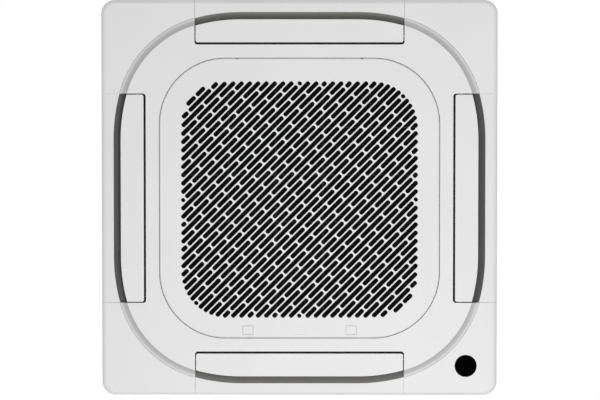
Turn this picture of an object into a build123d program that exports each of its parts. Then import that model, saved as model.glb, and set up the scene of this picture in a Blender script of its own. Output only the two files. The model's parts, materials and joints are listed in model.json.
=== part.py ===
from build123d import *
import os
from math import cos, radians, sin, sqrt, tan

os.makedirs("parts", exist_ok=True)

# A four-way ceiling cassette air conditioner, in millimetres.
# Frame: origin at the middle of the panel's lowest face, +Z up into the ceiling.
# The grille latches lie towards -Y, the grille hinge towards +Y and the receiver
# window in the corner towards -X -Y.

# ------------------------------------------------------------ driving dimensions
# decoration panel
panel_size = 950.0
panel_depth = 50.0
panel_corner_r = 33.0
panel_edge_r = 11.0
panel_draft = 3.0
panel_wall = 3.0
margin_height = 9.0
margin_width = 28.8
step_width = 17.9
corner_span = 288.6
side_arc_r = 412.0
side_arc_deg = 15.0
cover_seam = 0.6
wall = 2.5

# air outlets and louvers
outlet_end_setback = 224.0
outlet_setback = 106.8
duct_lean = 22.2
duct_top_depth = 50.0
louver_inner_gap = 5.2
louver_end_gap = 2.5
louver_thickness = 2.5
louver_corner_r = 5.0
louver_axis_in = 19.8
louver_axis_z = 12.0
louver_ear_r = 6.0
louver_ear_thickness = 5.0
pivot_r = 2.5
pivot_gap = 0.3

# louver stepper motor
motor_body_r = 14.0
motor_body_length = 19.0
motor_shaft_offset = 8.0
motor_ear_span = 35.0
motor_ear_r = 3.5

# intake grille
bridge_width = 32.2
well_corner_r = 158.0
well_setback = 4.0
well_lip_draft = 33.0
well_lip_chamfer = 1.1
grille_gap = 1.8
grille_chamfer = 1.4
grille_flange = 1.0
grille_flange_height = 1.4
grille_plate = 3.0
grille_rim_height = 7.0
grille_rim_inset = 4.0
field_border = 54.0
field_corner_r = 105.0
field_shift = -3.4
slot_row_pitch = 14.04
slot_pitch = 76.4
slot_length = 71.0
slot_width = 10.2
slot_shortest = 11.0
hinge_setback = 31.0
hinge_span_loss = 186.0
hinge_pin_r = 1.2
hinge_skin = 0.5
hinge_lug_r = 4.6
hinge_lug_thickness = 3.0

# grille latches
latch_span_loss = 212.0
latch_setback = 19.0
latch_width = 25.0
latch_length = 21.0
latch_travel = 5.5
nameplate_width = 33.0
nameplate_length = 18.5
nameplate_depth = 0.5

# receiver window
window_inset_x = 75.0
window_inset_y = 71.0
window_d = 52.5

# ceiling unit body
casing_setback = 55.0
casing_chamfer = 150.0
casing_height = 245.0
sheet = 1.2
seal_thickness = 4.0
insulation = 14.0

# clearances shared by all pieces
running_gap = 0.5
seat_gap = 0.3

# ------------------------------------------------------------ derived sizes and levels
edge_loss = panel_edge_r * tan(radians(panel_draft))
panel_half = panel_size / 2
margin_half = panel_half - margin_width
platform_half = margin_half - step_width
side_straight = platform_half - corner_span
outlet_half_length = panel_half - outlet_end_setback
outlet_inner = panel_half - outlet_setback
duct_top_inner = outlet_inner - duct_lean
duct_top_outer = duct_top_inner + duct_top_depth
louver_axis_y = outlet_inner + louver_axis_in
well_half = outlet_inner - bridge_width
well_wall_half = well_half + well_setback
grille_half = well_half - grille_gap
grille_corner_r = well_corner_r - grille_gap
field_half = well_half - field_border
hinge_y = well_half - hinge_setback
hinge_x = well_half - hinge_span_loss
hinge_z = hinge_skin + seat_gap + hinge_pin_r
latch_x = well_half - latch_span_loss
latch_y = latch_setback - well_half
window_x = window_inset_x - panel_half
window_y = window_inset_y - panel_half
casing_half = panel_half - casing_setback
casing_bottom = panel_depth + seal_thickness
casing_top = casing_bottom + casing_height


# ------------------------------------------------------------ shared outlines
def ring_outline(half):
    """Soft square of the platform: a straight middle, a gentle arc, a corner arc."""
    grown = half - platform_half
    side_r = side_arc_r + grown
    turn = cos(radians(side_arc_deg)) - sin(radians(side_arc_deg))
    corner_r = side_r - (side_straight - half + side_r) / turn
    side_centre = half - side_r
    corner_centre = side_straight + (side_r - corner_r) * sin(radians(side_arc_deg))
    with BuildSketch() as outline:
        with BuildLine():
            Line((0, half), (side_straight, half))
            CenterArc((side_straight, side_centre), side_r, 90 - side_arc_deg, side_arc_deg)
            CenterArc((corner_centre, corner_centre), corner_r, side_arc_deg, 90 - 2 * side_arc_deg)
            CenterArc((side_centre, side_straight), side_r, 0, side_arc_deg)
            Line((half, side_straight), (half, 0))
            mirror(about=Plane.YZ)
            mirror(about=Plane.XZ)
        make_face()
    return outline.sketch


def soft_square(half, corner_r):
    """Square of the given half width with rounded corners."""
    with BuildSketch() as outline:
        RectangleRounded(2 * half, 2 * half, corner_r)
    return outline.sketch


def octagon(half, cut):
    """Square of the given half width with its four corners cut at 45 degrees."""
    with BuildSketch() as outline:
        with BuildLine():
            Polyline((0, half), (half - cut, half), (half, half - cut), (half, 0))
            mirror(about=Plane.YZ)
            mirror(about=Plane.XZ)
        make_face()
    return outline.sketch


def finish(part, name):
    """Label a finished piece and write its file."""
    part.label = name
    export_step(part, f"parts/{name}.step")


side_angles = {"yp": 0, "xn": 90, "yn": 180, "xp": 270}
corner_angles = {"xp_yp": 0, "xn_yp": 90, "xn_yn": 180, "xp_yn": 270}


# ------------------------------------------------------------ decoration panel
def panel_form(inset, bottom):
    """Solid of the panel's outer form, or of its inner form when inset by the wall."""
    with BuildPart() as form:
        with BuildSketch(Plane.XY.offset(margin_height + bottom)):
            add(soft_square(panel_half - inset + edge_loss, panel_corner_r - inset + edge_loss))
        extrude(amount=panel_depth - margin_height - bottom, taper=panel_draft)
        low_edges = form.faces().sort_by(Axis.Z)[0].edges()
        fillet(low_edges, panel_edge_r - inset)
        with BuildSketch(Plane.XY.offset(bottom)):
            add(ring_outline(platform_half - inset))
        with BuildSketch(Plane.XY.offset(margin_height + bottom)):
            add(ring_outline(margin_half - inset))
        loft(ruled=True)
    return form.part


def outlet_form(grown):
    """Solid of one outlet's air space at +Y, or of its duct's outside when grown."""
    with BuildPart() as form:
        with BuildSketch(Plane.XY):
            add(ring_outline(margin_half + grown))
        extrude(amount=margin_height)
        with BuildSketch(Plane.XY.offset(margin_height)):
            add(ring_outline(margin_half + grown))
        with BuildSketch(Plane.XY.offset(panel_depth)):
            add(ring_outline(duct_top_outer + grown))
        loft(ruled=True)
        with BuildSketch(Plane.YZ):
            with BuildLine():
                Polyline(
                    (outlet_inner - grown, 0),
                    (outlet_inner - grown, panel_wall),
                    (duct_top_inner - grown, panel_depth),
                    (panel_half, panel_depth),
                    (panel_half, 0),
                    close=True,
                )
            make_face()
        extrude(amount=outlet_half_length + grown, both=True, mode=Mode.INTERSECT)
    return form.part


corner_overreach = 10.0


def corner_region(grown):
    """Prism over one corner of the panel, outside the ring and both outlet ends."""
    start = outlet_half_length - grown
    width = panel_half + corner_overreach - start
    with BuildPart() as region:
        with BuildSketch(Plane.XY.offset(-1)):
            with Locations((start + width / 2, start + width / 2)):
                Rectangle(width, width)
            add(ring_outline(margin_half - grown), mode=Mode.SUBTRACT)
        extrude(amount=panel_depth + 2)
    return region.part


outer_form = panel_form(0, 0)
inner_form = panel_form(panel_wall, panel_wall)
outlet_air = outlet_form(0)
outlet_duct = outlet_form(wall) & outer_form

hinge_arm_back = 3.2
hinge_arm_thickness = 4.0
hinge_notch = 16.0
hinge_clearance = 3.0
hinge_beam_z = hinge_z + sqrt(hinge_setback**2 + hinge_z**2) + hinge_clearance
hinge_beam_end = hinge_x + hinge_notch
hinge_beam_y = hinge_y - hinge_arm_back - wall
screw_inset = 90.0
screw_reach = panel_half - screw_inset
screw_r = 3.0
cover_peg_r = 4.0
cover_peg_start = 49.0
cover_peg_near = outlet_half_length + cover_peg_start
cover_peg_far = panel_half - margin_width
corner_plate_z = panel_depth - panel_wall
plate_rim = panel_wall + wall + seat_gap
tongue_width = 12.0
tongue_z = grille_plate + seat_gap
tongue_thickness = 2.5
motor_z = louver_axis_z + motor_shaft_offset

with BuildPart() as panel_frame:
    add(outer_form)
    add(inner_form, mode=Mode.SUBTRACT)
    # four ducts, each closed at its ends
    for angle in side_angles.values():
        add(outlet_duct.rotate(Axis.Z, angle))
    # well that takes the grille
    with BuildSketch(Plane.XY):
        add(soft_square(well_wall_half + wall, well_corner_r + well_setback + wall))
    extrude(amount=panel_depth)
    with BuildSketch(Plane.XY.offset(panel_wall)):
        add(soft_square(well_wall_half, well_corner_r + well_setback))
    extrude(amount=panel_depth, mode=Mode.SUBTRACT)
    with BuildSketch(Plane.XY):
        add(soft_square(well_half, well_corner_r))
    extrude(amount=panel_wall, taper=-well_lip_draft, mode=Mode.SUBTRACT)
    with BuildSketch(Plane.XY):
        add(soft_square(well_half + well_lip_chamfer, well_corner_r + well_lip_chamfer))
    extrude(amount=well_lip_chamfer, taper=45, mode=Mode.SUBTRACT)
    # the corners are open under their covers, closed by a wall along the ring
    for angle in corner_angles.values():
        add(corner_region(cover_seam / 2).rotate(Axis.Z, angle), mode=Mode.SUBTRACT)
    with BuildSketch(Plane.XY.offset(margin_height)):
        add(ring_outline(margin_half - cover_seam / 2))
        add(ring_outline(margin_half - cover_seam / 2 - wall), mode=Mode.SUBTRACT)
    extrude(amount=panel_depth - margin_height)
    for angle in corner_angles.values():
        with BuildSketch(Plane.XY.offset(corner_plate_z)):
            with Locations((panel_half / 2, panel_half / 2)):
                Rectangle(panel_half, panel_half)
            add(soft_square(panel_half - plate_rim, panel_corner_r - plate_rim), mode=Mode.INTERSECT)
            add(ring_outline(margin_half - wall), mode=Mode.SUBTRACT)
            with Locations((0, 0)):
                Rectangle(2 * outlet_half_length, panel_size, mode=Mode.SUBTRACT)
                Rectangle(panel_size, 2 * outlet_half_length, mode=Mode.SUBTRACT)
            with Locations((cover_peg_near, cover_peg_far), (cover_peg_far, cover_peg_near)):
                Circle(cover_peg_r + seat_gap, mode=Mode.SUBTRACT)
            with Locations((screw_reach, screw_reach)):
                Circle(screw_r + seat_gap, mode=Mode.SUBTRACT)
        plate = extrude(amount=panel_wall, mode=Mode.PRIVATE)
        add(plate.rotate(Axis.Z, angle))
    # air spaces of the outlets
    for angle in side_angles.values():
        add(outlet_air.rotate(Axis.Z, angle), mode=Mode.SUBTRACT)
    # pivot holes through both ends of every duct
    for angle in side_angles.values():
        with BuildSketch(Plane.YZ):
            with Locations((louver_axis_y, louver_axis_z)):
                Circle(pivot_r + pivot_gap)
        pivot_hole = extrude(amount=outlet_half_length + 2 * wall, both=True, mode=Mode.PRIVATE)
        add(pivot_hole.rotate(Axis.Z, angle), mode=Mode.SUBTRACT)
    # beam above the grille's hinge edge, with an arm and a pin at each hinge
    with BuildSketch(Plane.YZ):
        with BuildLine():
            Polyline(
                (well_wall_half + wall / 2, hinge_beam_z),
                (hinge_beam_y, hinge_beam_z),
                (hinge_beam_y, panel_depth),
                (hinge_beam_y + wall, panel_depth),
                (hinge_beam_y + wall, hinge_beam_z + wall),
                (well_wall_half + wall / 2, hinge_beam_z + wall),
                close=True,
            )
        make_face()
    extrude(amount=hinge_beam_end, both=True)
    with BuildSketch(Plane.YZ):
        with Locations((hinge_y, hinge_z)):
            Circle(hinge_pin_r)
        with Locations((hinge_y + (hinge_pin_r - hinge_arm_back) / 2, (hinge_z + hinge_beam_z) / 2)):
            Rectangle(hinge_pin_r + hinge_arm_back, hinge_beam_z - hinge_z)
    hinge_arm = extrude(amount=hinge_arm_thickness / 2, both=True, mode=Mode.PRIVATE)
    with BuildSketch(Plane.YZ):
        with Locations((hinge_y, hinge_z)):
            Circle(hinge_pin_r)
    pin_reach = hinge_arm_thickness / 2 + running_gap + hinge_lug_thickness
    hinge_pin = extrude(amount=pin_reach, both=True, mode=Mode.PRIVATE)
    for x in (-hinge_x, hinge_x):
        add(Pos(x, 0, 0) * hinge_arm)
        add(Pos(x, 0, 0) * hinge_pin)
finish(panel_frame.part, "panel_frame")


# ------------------------------------------------------------ corner covers
window_lip = 3.0
window_bezel_r = window_d / 2 + window_lip
window_bezel = 1.5
window_proud = 0.4
board_standoff = 5.0
board_thickness = 1.6
board_length = 34.0
board_post_r = 2.5
receiver_width = 8.0
receiver_length = 6.0
receiver_offset = 8.0
lamp_size = 3.0
lamp_pitch = 8.0
lamp_offset = 6.0
lamp_height = 2.5
shell = outer_form - inner_form

for corner, angle in corner_angles.items():
    with BuildPart() as corner_cover:
        add(shell)
        add(corner_region(-cover_seam / 2), mode=Mode.INTERSECT)
        with BuildSketch(Plane.XY.offset(margin_height + panel_wall / 2)):
            with Locations((cover_peg_near, cover_peg_far), (cover_peg_far, cover_peg_near)):
                Circle(cover_peg_r)
        extrude(amount=panel_depth - margin_height - panel_wall / 2)
    cover = corner_cover.part.rotate(Axis.Z, angle)
    if corner == "xn_yn":
        with BuildPart() as receiver_cover:
            add(cover)
            with BuildSketch(Plane.XY):
                with Locations((window_x, window_y)):
                    Circle(window_d / 2 + seat_gap)
            extrude(amount=panel_depth / 2, mode=Mode.SUBTRACT)
            with BuildSketch(Plane.XY.offset(margin_height + panel_wall / 2)):
                with Locations((window_x, window_y)):
                    with Locations((-window_bezel_r - board_post_r, 0), (window_bezel_r + board_post_r, 0)):
                        Circle(board_post_r)
            extrude(amount=board_standoff + panel_wall / 2)
        cover = receiver_cover.part
    finish(cover, f"corner_cover_{corner}")

with BuildPart() as receiver_window:
    with BuildSketch(Plane.XY.offset(margin_height - window_proud)):
        with Locations((window_x, window_y)):
            Circle(window_d / 2)
    extrude(amount=panel_wall + window_proud)
    with BuildSketch(Plane.XY.offset(margin_height + panel_wall)):
        with Locations((window_x, window_y)):
            Circle(window_bezel_r)
    extrude(amount=window_bezel)
finish(receiver_window.part, "receiver_window")

board_z = margin_height + panel_wall + board_standoff
with BuildPart() as receiver_board:
    with BuildSketch(Plane.XY.offset(board_z)):
        with Locations((window_x, window_y)):
            Rectangle(2 * (window_bezel_r + 2 * board_post_r), board_length)
    extrude(amount=board_thickness)
    # receiver dome and a row of three lamps, looking down at the window
    with BuildSketch(Plane.XY.offset(board_z)):
        with Locations((window_x, window_y + receiver_offset)):
            Rectangle(receiver_width, receiver_length)
        with Locations((window_x, window_y - lamp_offset)):
            with GridLocations(lamp_pitch, 1, 3, 1):
                Rectangle(lamp_size, lamp_size)
    extrude(amount=-lamp_height)
finish(receiver_board.part, "receiver_board")


# ------------------------------------------------------------ louvers and their drives
louver_inner = outlet_inner + louver_inner_gap
louver_half_length = outlet_half_length - louver_end_gap
ear_foot = 8.0
louver_rib = 2.0
louver_rib_height = 4.0
pin_engagement = louver_ear_thickness - running_gap

with BuildPart() as louver:
    with BuildSketch(Plane.XY):
        vane_depth = platform_half - louver_inner
        with Locations((0, louver_inner + vane_depth / 2)):
            Rectangle(2 * louver_half_length, vane_depth)
        add(ring_outline(platform_half), mode=Mode.INTERSECT)
        inner_corners = vertices().group_by(Axis.Y)[0]
        fillet(inner_corners, louver_corner_r)
    extrude(amount=louver_thickness)
    # stiffening rib between the two ears
    with BuildSketch(Plane.XY.offset(louver_thickness)):
        with Locations((0, louver_axis_y)):
            Rectangle(2 * louver_half_length - louver_ear_thickness, louver_rib)
    extrude(amount=louver_rib_height)
    # ears that turn on the pivots
    for x in (-louver_half_length, louver_half_length - louver_ear_thickness):
        with BuildSketch(Plane.YZ.offset(x)):
            with BuildLine():
                Polyline(
                    (louver_axis_y - ear_foot, louver_thickness / 2),
                    (louver_axis_y + ear_foot, louver_thickness / 2),
                    (louver_axis_y + louver_ear_r, louver_axis_z),
                    (louver_axis_y - louver_ear_r, louver_axis_z),
                    close=True,
                )
            make_face()
            with Locations((louver_axis_y, louver_axis_z)):
                Circle(louver_ear_r)
                Circle(pivot_r + pivot_gap, mode=Mode.SUBTRACT)
        extrude(amount=louver_ear_thickness)

# pin that clips into the duct's end wall
pivot_head_r = 5.0
pivot_head = 2.0
with BuildPart() as pivot_pin:
    with BuildSketch(Plane.YZ.offset(-outlet_half_length - wall)):
        with Locations((louver_axis_y, louver_axis_z)):
            Circle(pivot_r)
    extrude(amount=wall + louver_end_gap + pin_engagement)
    with BuildSketch(Plane.YZ.offset(-outlet_half_length - wall)):
        with Locations((louver_axis_y, louver_axis_z)):
            Circle(pivot_head_r)
    extrude(amount=-pivot_head)

# geared stepper motor on the other end wall, its shaft turning the louver
motor_plate = 1.0
motor_plug_width = 14.6
motor_plug_height = 6.0
with BuildPart() as louver_motor:
    with BuildSketch(Plane.YZ.offset(outlet_half_length + wall)):
        with Locations((louver_axis_y, motor_z)):
            Rectangle(motor_ear_span, 2 * motor_ear_r)
            with GridLocations(motor_ear_span, 1, 2, 1):
                Circle(motor_ear_r)
            Circle(motor_body_r)
    extrude(amount=motor_plate)
    with BuildSketch(Plane.YZ.offset(outlet_half_length + wall)):
        with Locations((louver_axis_y, motor_z)):
            Circle(motor_body_r)
            with Locations((0, motor_body_r)):
                Rectangle(motor_plug_width, motor_plug_height)
    extrude(amount=motor_body_length)
    with BuildSketch(Plane.YZ.offset(outlet_half_length + wall)):
        with Locations((louver_axis_y, louver_axis_z)):
            Circle(pivot_r)
    extrude(amount=-wall - louver_end_gap - pin_engagement)

for side, angle in side_angles.items():
    finish(louver.part.rotate(Axis.Z, angle), f"louver_{side}")
    finish(louver_motor.part.rotate(Axis.Z, angle), f"louver_motor_{side}")
pivot_pins = Part() + [pivot_pin.part.rotate(Axis.Z, angle) for angle in side_angles.values()]
finish(pivot_pins, "louver_pivots")


# ------------------------------------------------------------ intake grille
latch_cheek = 2.0
latch_cheek_height = 4.0
latch_back_margin = 3.5
latch_back_width = latch_width + 2 * latch_back_margin
latch_cover = 1.5
latch_slack = 4.0
rim_thickness = 2.0
nameplate_shift = 1.0
field_diagonal = (field_half - field_corner_r) * sqrt(2)


def row_reach(row_offset):
    """Half length of a 45 degree row inside the slot field, at its distance from the middle."""
    off = abs(row_offset)
    if off <= field_corner_r / sqrt(2):
        return field_diagonal + sqrt(field_corner_r**2 - off**2)
    if off <= (2 * field_half - field_corner_r) / sqrt(2):
        return field_half * sqrt(2) - off
    return sqrt(max(0, field_corner_r**2 - (off - field_diagonal) ** 2))


def slot_spans(row):
    """Start and end of each slot along a row; every other row is shifted by half a pitch."""
    reach = row_reach(row * slot_row_pitch)
    shift = slot_pitch / 2 if row % 2 else 0
    count = int(reach / slot_pitch) + 2
    for step in range(-count, count + 1):
        middle = step * slot_pitch + shift
        low = max(middle - slot_length / 2, -reach)
        high = min(middle + slot_length / 2, reach)
        if high - low >= slot_shortest:
            yield low, high


def slot_faces():
    """All slots of the grille, placed in its plane."""
    rows = int((field_diagonal + field_corner_r) / slot_row_pitch)
    faces = []
    for row in range(-rows, rows + 1):
        for low, high in slot_spans(row):
            along = (low + high) / 2
            across = row * slot_row_pitch
            x = (across - along) / sqrt(2)
            y = (across + along) / sqrt(2) + field_shift
            faces.append(Pos(x, y) * Rot(0, 0, 135) * Rectangle(high - low, slot_width))
    return faces


with BuildPart() as grille:
    with BuildSketch(Plane.XY):
        add(soft_square(grille_half, grille_corner_r))
    extrude(amount=grille_plate)
    chamfer(faces().sort_by(Axis.Z)[0].edges(), grille_chamfer)
    with BuildSketch(Plane.XY.offset(grille_plate - grille_flange_height)):
        add(soft_square(grille_half + grille_flange, grille_corner_r + grille_flange))
    extrude(amount=grille_flange_height)
    # stiffening rim, open where the latches and the hinge arms pass
    rim_half = grille_half - grille_rim_inset
    rim_r = grille_corner_r - grille_rim_inset
    with BuildSketch(Plane.XY.offset(grille_plate)):
        add(soft_square(rim_half, rim_r))
        add(soft_square(rim_half - rim_thickness, rim_r - rim_thickness), mode=Mode.SUBTRACT)
        with Locations((-latch_x, -rim_half), (latch_x, -rim_half)):
            Rectangle(latch_back_width + 2 * running_gap, 4 * rim_thickness, mode=Mode.SUBTRACT)
        with Locations((-hinge_x, rim_half), (hinge_x, rim_half)):
            Rectangle(hinge_notch, 4 * rim_thickness, mode=Mode.SUBTRACT)
    extrude(amount=grille_rim_height)
    # hinge lugs on both sides of each arm, and the pocket that the arm swings in
    lug_start = hinge_arm_thickness / 2 + running_gap
    with BuildSketch(Plane.YZ):
        with Locations((hinge_y, hinge_z)):
            Circle(hinge_lug_r)
        with Locations((hinge_y, grille_plate / 2 + hinge_lug_r)):
            Rectangle(2 * hinge_lug_r, 2 * hinge_lug_r, mode=Mode.INTERSECT)
    lug = extrude(amount=hinge_lug_thickness, mode=Mode.PRIVATE)
    with BuildSketch(Plane.YZ):
        with Locations((hinge_y, hinge_z)):
            Circle(hinge_pin_r + seat_gap)
    pin_bore = extrude(amount=lug_start + hinge_lug_thickness, both=True, mode=Mode.PRIVATE)
    pocket_start = hinge_y - hinge_arm_back - running_gap
    with BuildSketch(Plane.YZ):
        with Locations((hinge_y, hinge_z)):
            Circle(hinge_pin_r + seat_gap)
        with Locations(((pocket_start + well_half) / 2, hinge_skin + hinge_lug_r)):
            Rectangle(well_half - pocket_start, 2 * hinge_lug_r)
    arm_pocket = extrude(amount=lug_start, both=True, mode=Mode.PRIVATE)
    for x in (-hinge_x, hinge_x):
        add(Pos(x + lug_start, 0, 0) * lug)
        add(Pos(x - lug_start - hinge_lug_thickness, 0, 0) * lug)
        add(Pos(x, 0, 0) * pin_bore, mode=Mode.SUBTRACT)
        add(Pos(x, 0, 0) * arm_pocket, mode=Mode.SUBTRACT)
    # latch windows, their side cheeks and the bare rectangle between them
    with BuildSketch(Plane.XY):
        with Locations((-latch_x, latch_y), (latch_x, latch_y)):
            Rectangle(latch_width, latch_length)
    extrude(amount=grille_plate, mode=Mode.SUBTRACT)
    with BuildSketch(Plane.XY.offset(grille_plate)):
        for x in (-latch_x, latch_x):
            with Locations((x, latch_y + latch_slack)):
                with GridLocations(latch_back_width + 2 * running_gap + latch_cheek, 1, 2, 1):
                    Rectangle(latch_cheek, latch_length)
    extrude(amount=latch_cheek_height)
    with BuildSketch(Plane.XY):
        with Locations((0, latch_y - nameplate_shift)):
            Rectangle(nameplate_width, nameplate_length)
    extrude(amount=nameplate_depth, mode=Mode.SUBTRACT)
    with BuildSketch(Plane.XY):
        add(slot_faces())
    extrude(amount=grille_plate, mode=Mode.SUBTRACT)
finish(grille.part, "grille")

latch_grip_length = latch_length - latch_travel - 2 * running_gap
latch_grip_z = 0.8
latch_overlap = 2.0
tongue_tip = seat_gap - grille_half
plate_low = latch_y - latch_length / 2 - latch_overlap
plate_high = latch_y + latch_length / 2 + latch_travel + latch_slack
with BuildPart() as latch:
    # grip in the window, cover plate behind it and the tongue towards the well wall
    grip_y = latch_y + (latch_length - latch_grip_length) / 2 - running_gap
    with BuildSketch(Plane.XY.offset(latch_grip_z)):
        with Locations((0, grip_y)):
            Rectangle(latch_width - 2 * running_gap, latch_grip_length)
    extrude(amount=tongue_z - latch_grip_z)
    with BuildSketch(Plane.XY.offset(tongue_z)):
        with Locations((0, (plate_low + plate_high) / 2)):
            Rectangle(latch_back_width, plate_high - plate_low)
    extrude(amount=latch_cover)
    with BuildSketch(Plane.XY.offset(tongue_z)):
        with Locations((0, (tongue_tip + latch_y) / 2)):
            Rectangle(tongue_width, latch_y - tongue_tip)
    extrude(amount=tongue_thickness)
for name, x in (("latch_xn", -latch_x), ("latch_xp", latch_x)):
    finish(Pos(x, 0, 0) * latch.part, name)


# ------------------------------------------------------------ filter, carried by the grille
filter_gap = 4.5
filter_half = -plate_high - filter_gap
filter_corner_grow = 5.0
filter_corner_r = field_corner_r + filter_corner_grow
filter_border = 9.0
filter_height = 5.0
filter_rib = 3.0
filter_bays = 5
net_thickness = 0.6
net_margin = 2.0

with BuildPart() as filter_frame:
    inner_half = filter_half - filter_border
    with BuildSketch(Plane.XY.offset(grille_plate)):
        add(soft_square(filter_half, filter_corner_r))
        add(soft_square(inner_half, filter_corner_r - filter_border), mode=Mode.SUBTRACT)
    extrude(amount=filter_height)
    with BuildSketch(Plane.XY.offset(grille_plate + filter_height - filter_rib)):
        bay = 2 * inner_half / filter_bays
        with GridLocations(bay, 1, filter_bays - 1, 1):
            Rectangle(filter_rib, 2 * filter_half)
        with GridLocations(1, bay, 1, filter_bays - 1):
            Rectangle(2 * filter_half, filter_rib)
        add(soft_square(filter_half - filter_rib, filter_corner_r - filter_rib), mode=Mode.INTERSECT)
    extrude(amount=filter_rib)
finish(filter_frame.part, "filter_frame")

with BuildPart() as filter_net:
    with BuildSketch(Plane.XY.offset(grille_plate + filter_height)):
        add(soft_square(filter_half - net_margin, filter_corner_r - net_margin))
    extrude(amount=net_thickness)
finish(filter_net.part, "filter_net")


# ------------------------------------------------------------ drain pan, seal and bell mouth
pan_height = 42.0
pan_floor = 18.0
trough_setback = 98.0
trough_width = 74.0
trough_r = 60.0
trough_inner_r = 20.0
trough_outer = casing_half - trough_setback
trough_inner = trough_outer - trough_width
hole_border = 8.0
bell_hole_r = trough_inner - hole_border
bell_flange = 22.0
bell_rim_r = bell_hole_r + bell_flange
throat_depth = 62.0
bell_throat_r = bell_hole_r - throat_depth
bell_wall = 2.5
pan_gap = 0.5
pump_shift_x = 3.0
pump_shift_y = 27.0
pump_x = trough_outer + pump_shift_x
pump_y = pump_shift_y - trough_outer
sump_r = 32.0
seal_border = 8.0
seal_corner_r = 90.0


def casing_octagon(inset):
    """Octagon of the casing, moved inwards by the same distance on every side."""
    return octagon(casing_half - inset, casing_chamfer - inset * (2 - sqrt(2)))


def outlet_slots():
    """The four outlet openings at the top of the ducts."""
    depth = duct_top_outer - duct_top_inner
    middle = (duct_top_outer + duct_top_inner) / 2
    with BuildSketch() as slots:
        with Locations((0, middle), (0, -middle)):
            Rectangle(2 * outlet_half_length, depth)
        with Locations((middle, 0), (-middle, 0)):
            Rectangle(depth, 2 * outlet_half_length)
    return slots.sketch


with BuildPart() as panel_seal:
    with BuildSketch(Plane.XY.offset(panel_depth)):
        add(soft_square(duct_top_outer + seal_border, seal_corner_r))
        add(casing_octagon(sheet + pan_gap), mode=Mode.INTERSECT)
        add(soft_square(well_wall_half, well_corner_r + well_setback), mode=Mode.SUBTRACT)
        add(outlet_slots(), mode=Mode.SUBTRACT)
    extrude(amount=seal_thickness)
finish(panel_seal.part, "panel_seal")

pan_top = casing_bottom + pan_height
trough_z = casing_bottom + pan_floor
with BuildPart() as drain_pan:
    with BuildSketch(Plane.XY.offset(casing_bottom)):
        add(casing_octagon(sheet + pan_gap))
        Circle(bell_hole_r, mode=Mode.SUBTRACT)
        add(outlet_slots(), mode=Mode.SUBTRACT)
    extrude(amount=pan_height)
    with BuildSketch(Plane.XY.offset(trough_z)):
        add(soft_square(trough_outer, trough_r))
        add(soft_square(trough_inner, trough_inner_r), mode=Mode.SUBTRACT)
        with Locations((pump_x, pump_y)):
            Circle(sump_r)
    extrude(amount=pan_height, mode=Mode.SUBTRACT)
finish(drain_pan.part, "drain_pan")

mouth_r = bell_hole_r - bell_wall - seat_gap
bell_curve_r = mouth_r - bell_throat_r
rim_low = casing_bottom - bell_wall
lip_top = rim_low + bell_curve_r
with BuildPart() as bell_mouth:
    with BuildSketch(Plane.XZ):
        with BuildLine():
            Line((bell_rim_r, rim_low), (mouth_r, rim_low))
            CenterArc((mouth_r, lip_top), bell_curve_r, 180, 90)
            Line((bell_throat_r, lip_top), (bell_throat_r + bell_wall, lip_top))
            CenterArc((mouth_r, lip_top), bell_curve_r - bell_wall, 180, 90)
            Polyline((mouth_r, casing_bottom), (bell_rim_r, casing_bottom), (bell_rim_r, rim_low))
        make_face()
    revolve(axis=Axis.Z)
finish(bell_mouth.part, "bell_mouth")


# ------------------------------------------------------------ fan and its motor
throat_gap = 8.0
throat_overlap = 6.0
shroud_inlet_r = bell_throat_r + throat_gap
shroud_inlet_z = lip_top - throat_overlap
fan_gap = 30.0
coil_setback = 10.0
fan_r = trough_inner + coil_setback - fan_gap
blade_turn_r = fan_r * 0.9
fan_wall = 2.0
fan_motor_r = 62.0
fan_motor_height = 60.0
bracket_sheet = 3.0
damper_height = 22.8
dome_gap = 8.0
plate_under = casing_top - sheet
insulation_low = plate_under - insulation
motor_high = plate_under - damper_height - bracket_sheet
motor_low = motor_high - fan_motor_height
dome_clearance = 14.0
dome_inner_r = fan_motor_r + dome_clearance
dome_flare = 64.0
dome_outer_r = dome_inner_r + dome_flare
dome_depth = 34.0
dome_low = motor_low - dome_gap
fan_top = dome_low + dome_depth
fan_height = fan_top - shroud_inlet_z
hub_r = 22.0
hub_height = 12.0
shaft_r = 6.0
shaft_out = 2.0
blade_count = 7
blade_start = 48.0
blade_inner_r = bell_throat_r - blade_start
blade_thickness = 3.5
blade_rise = 34.0
blade_sweep = 104.0
nut_r = 10.0
nut_height = 8.0

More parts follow.
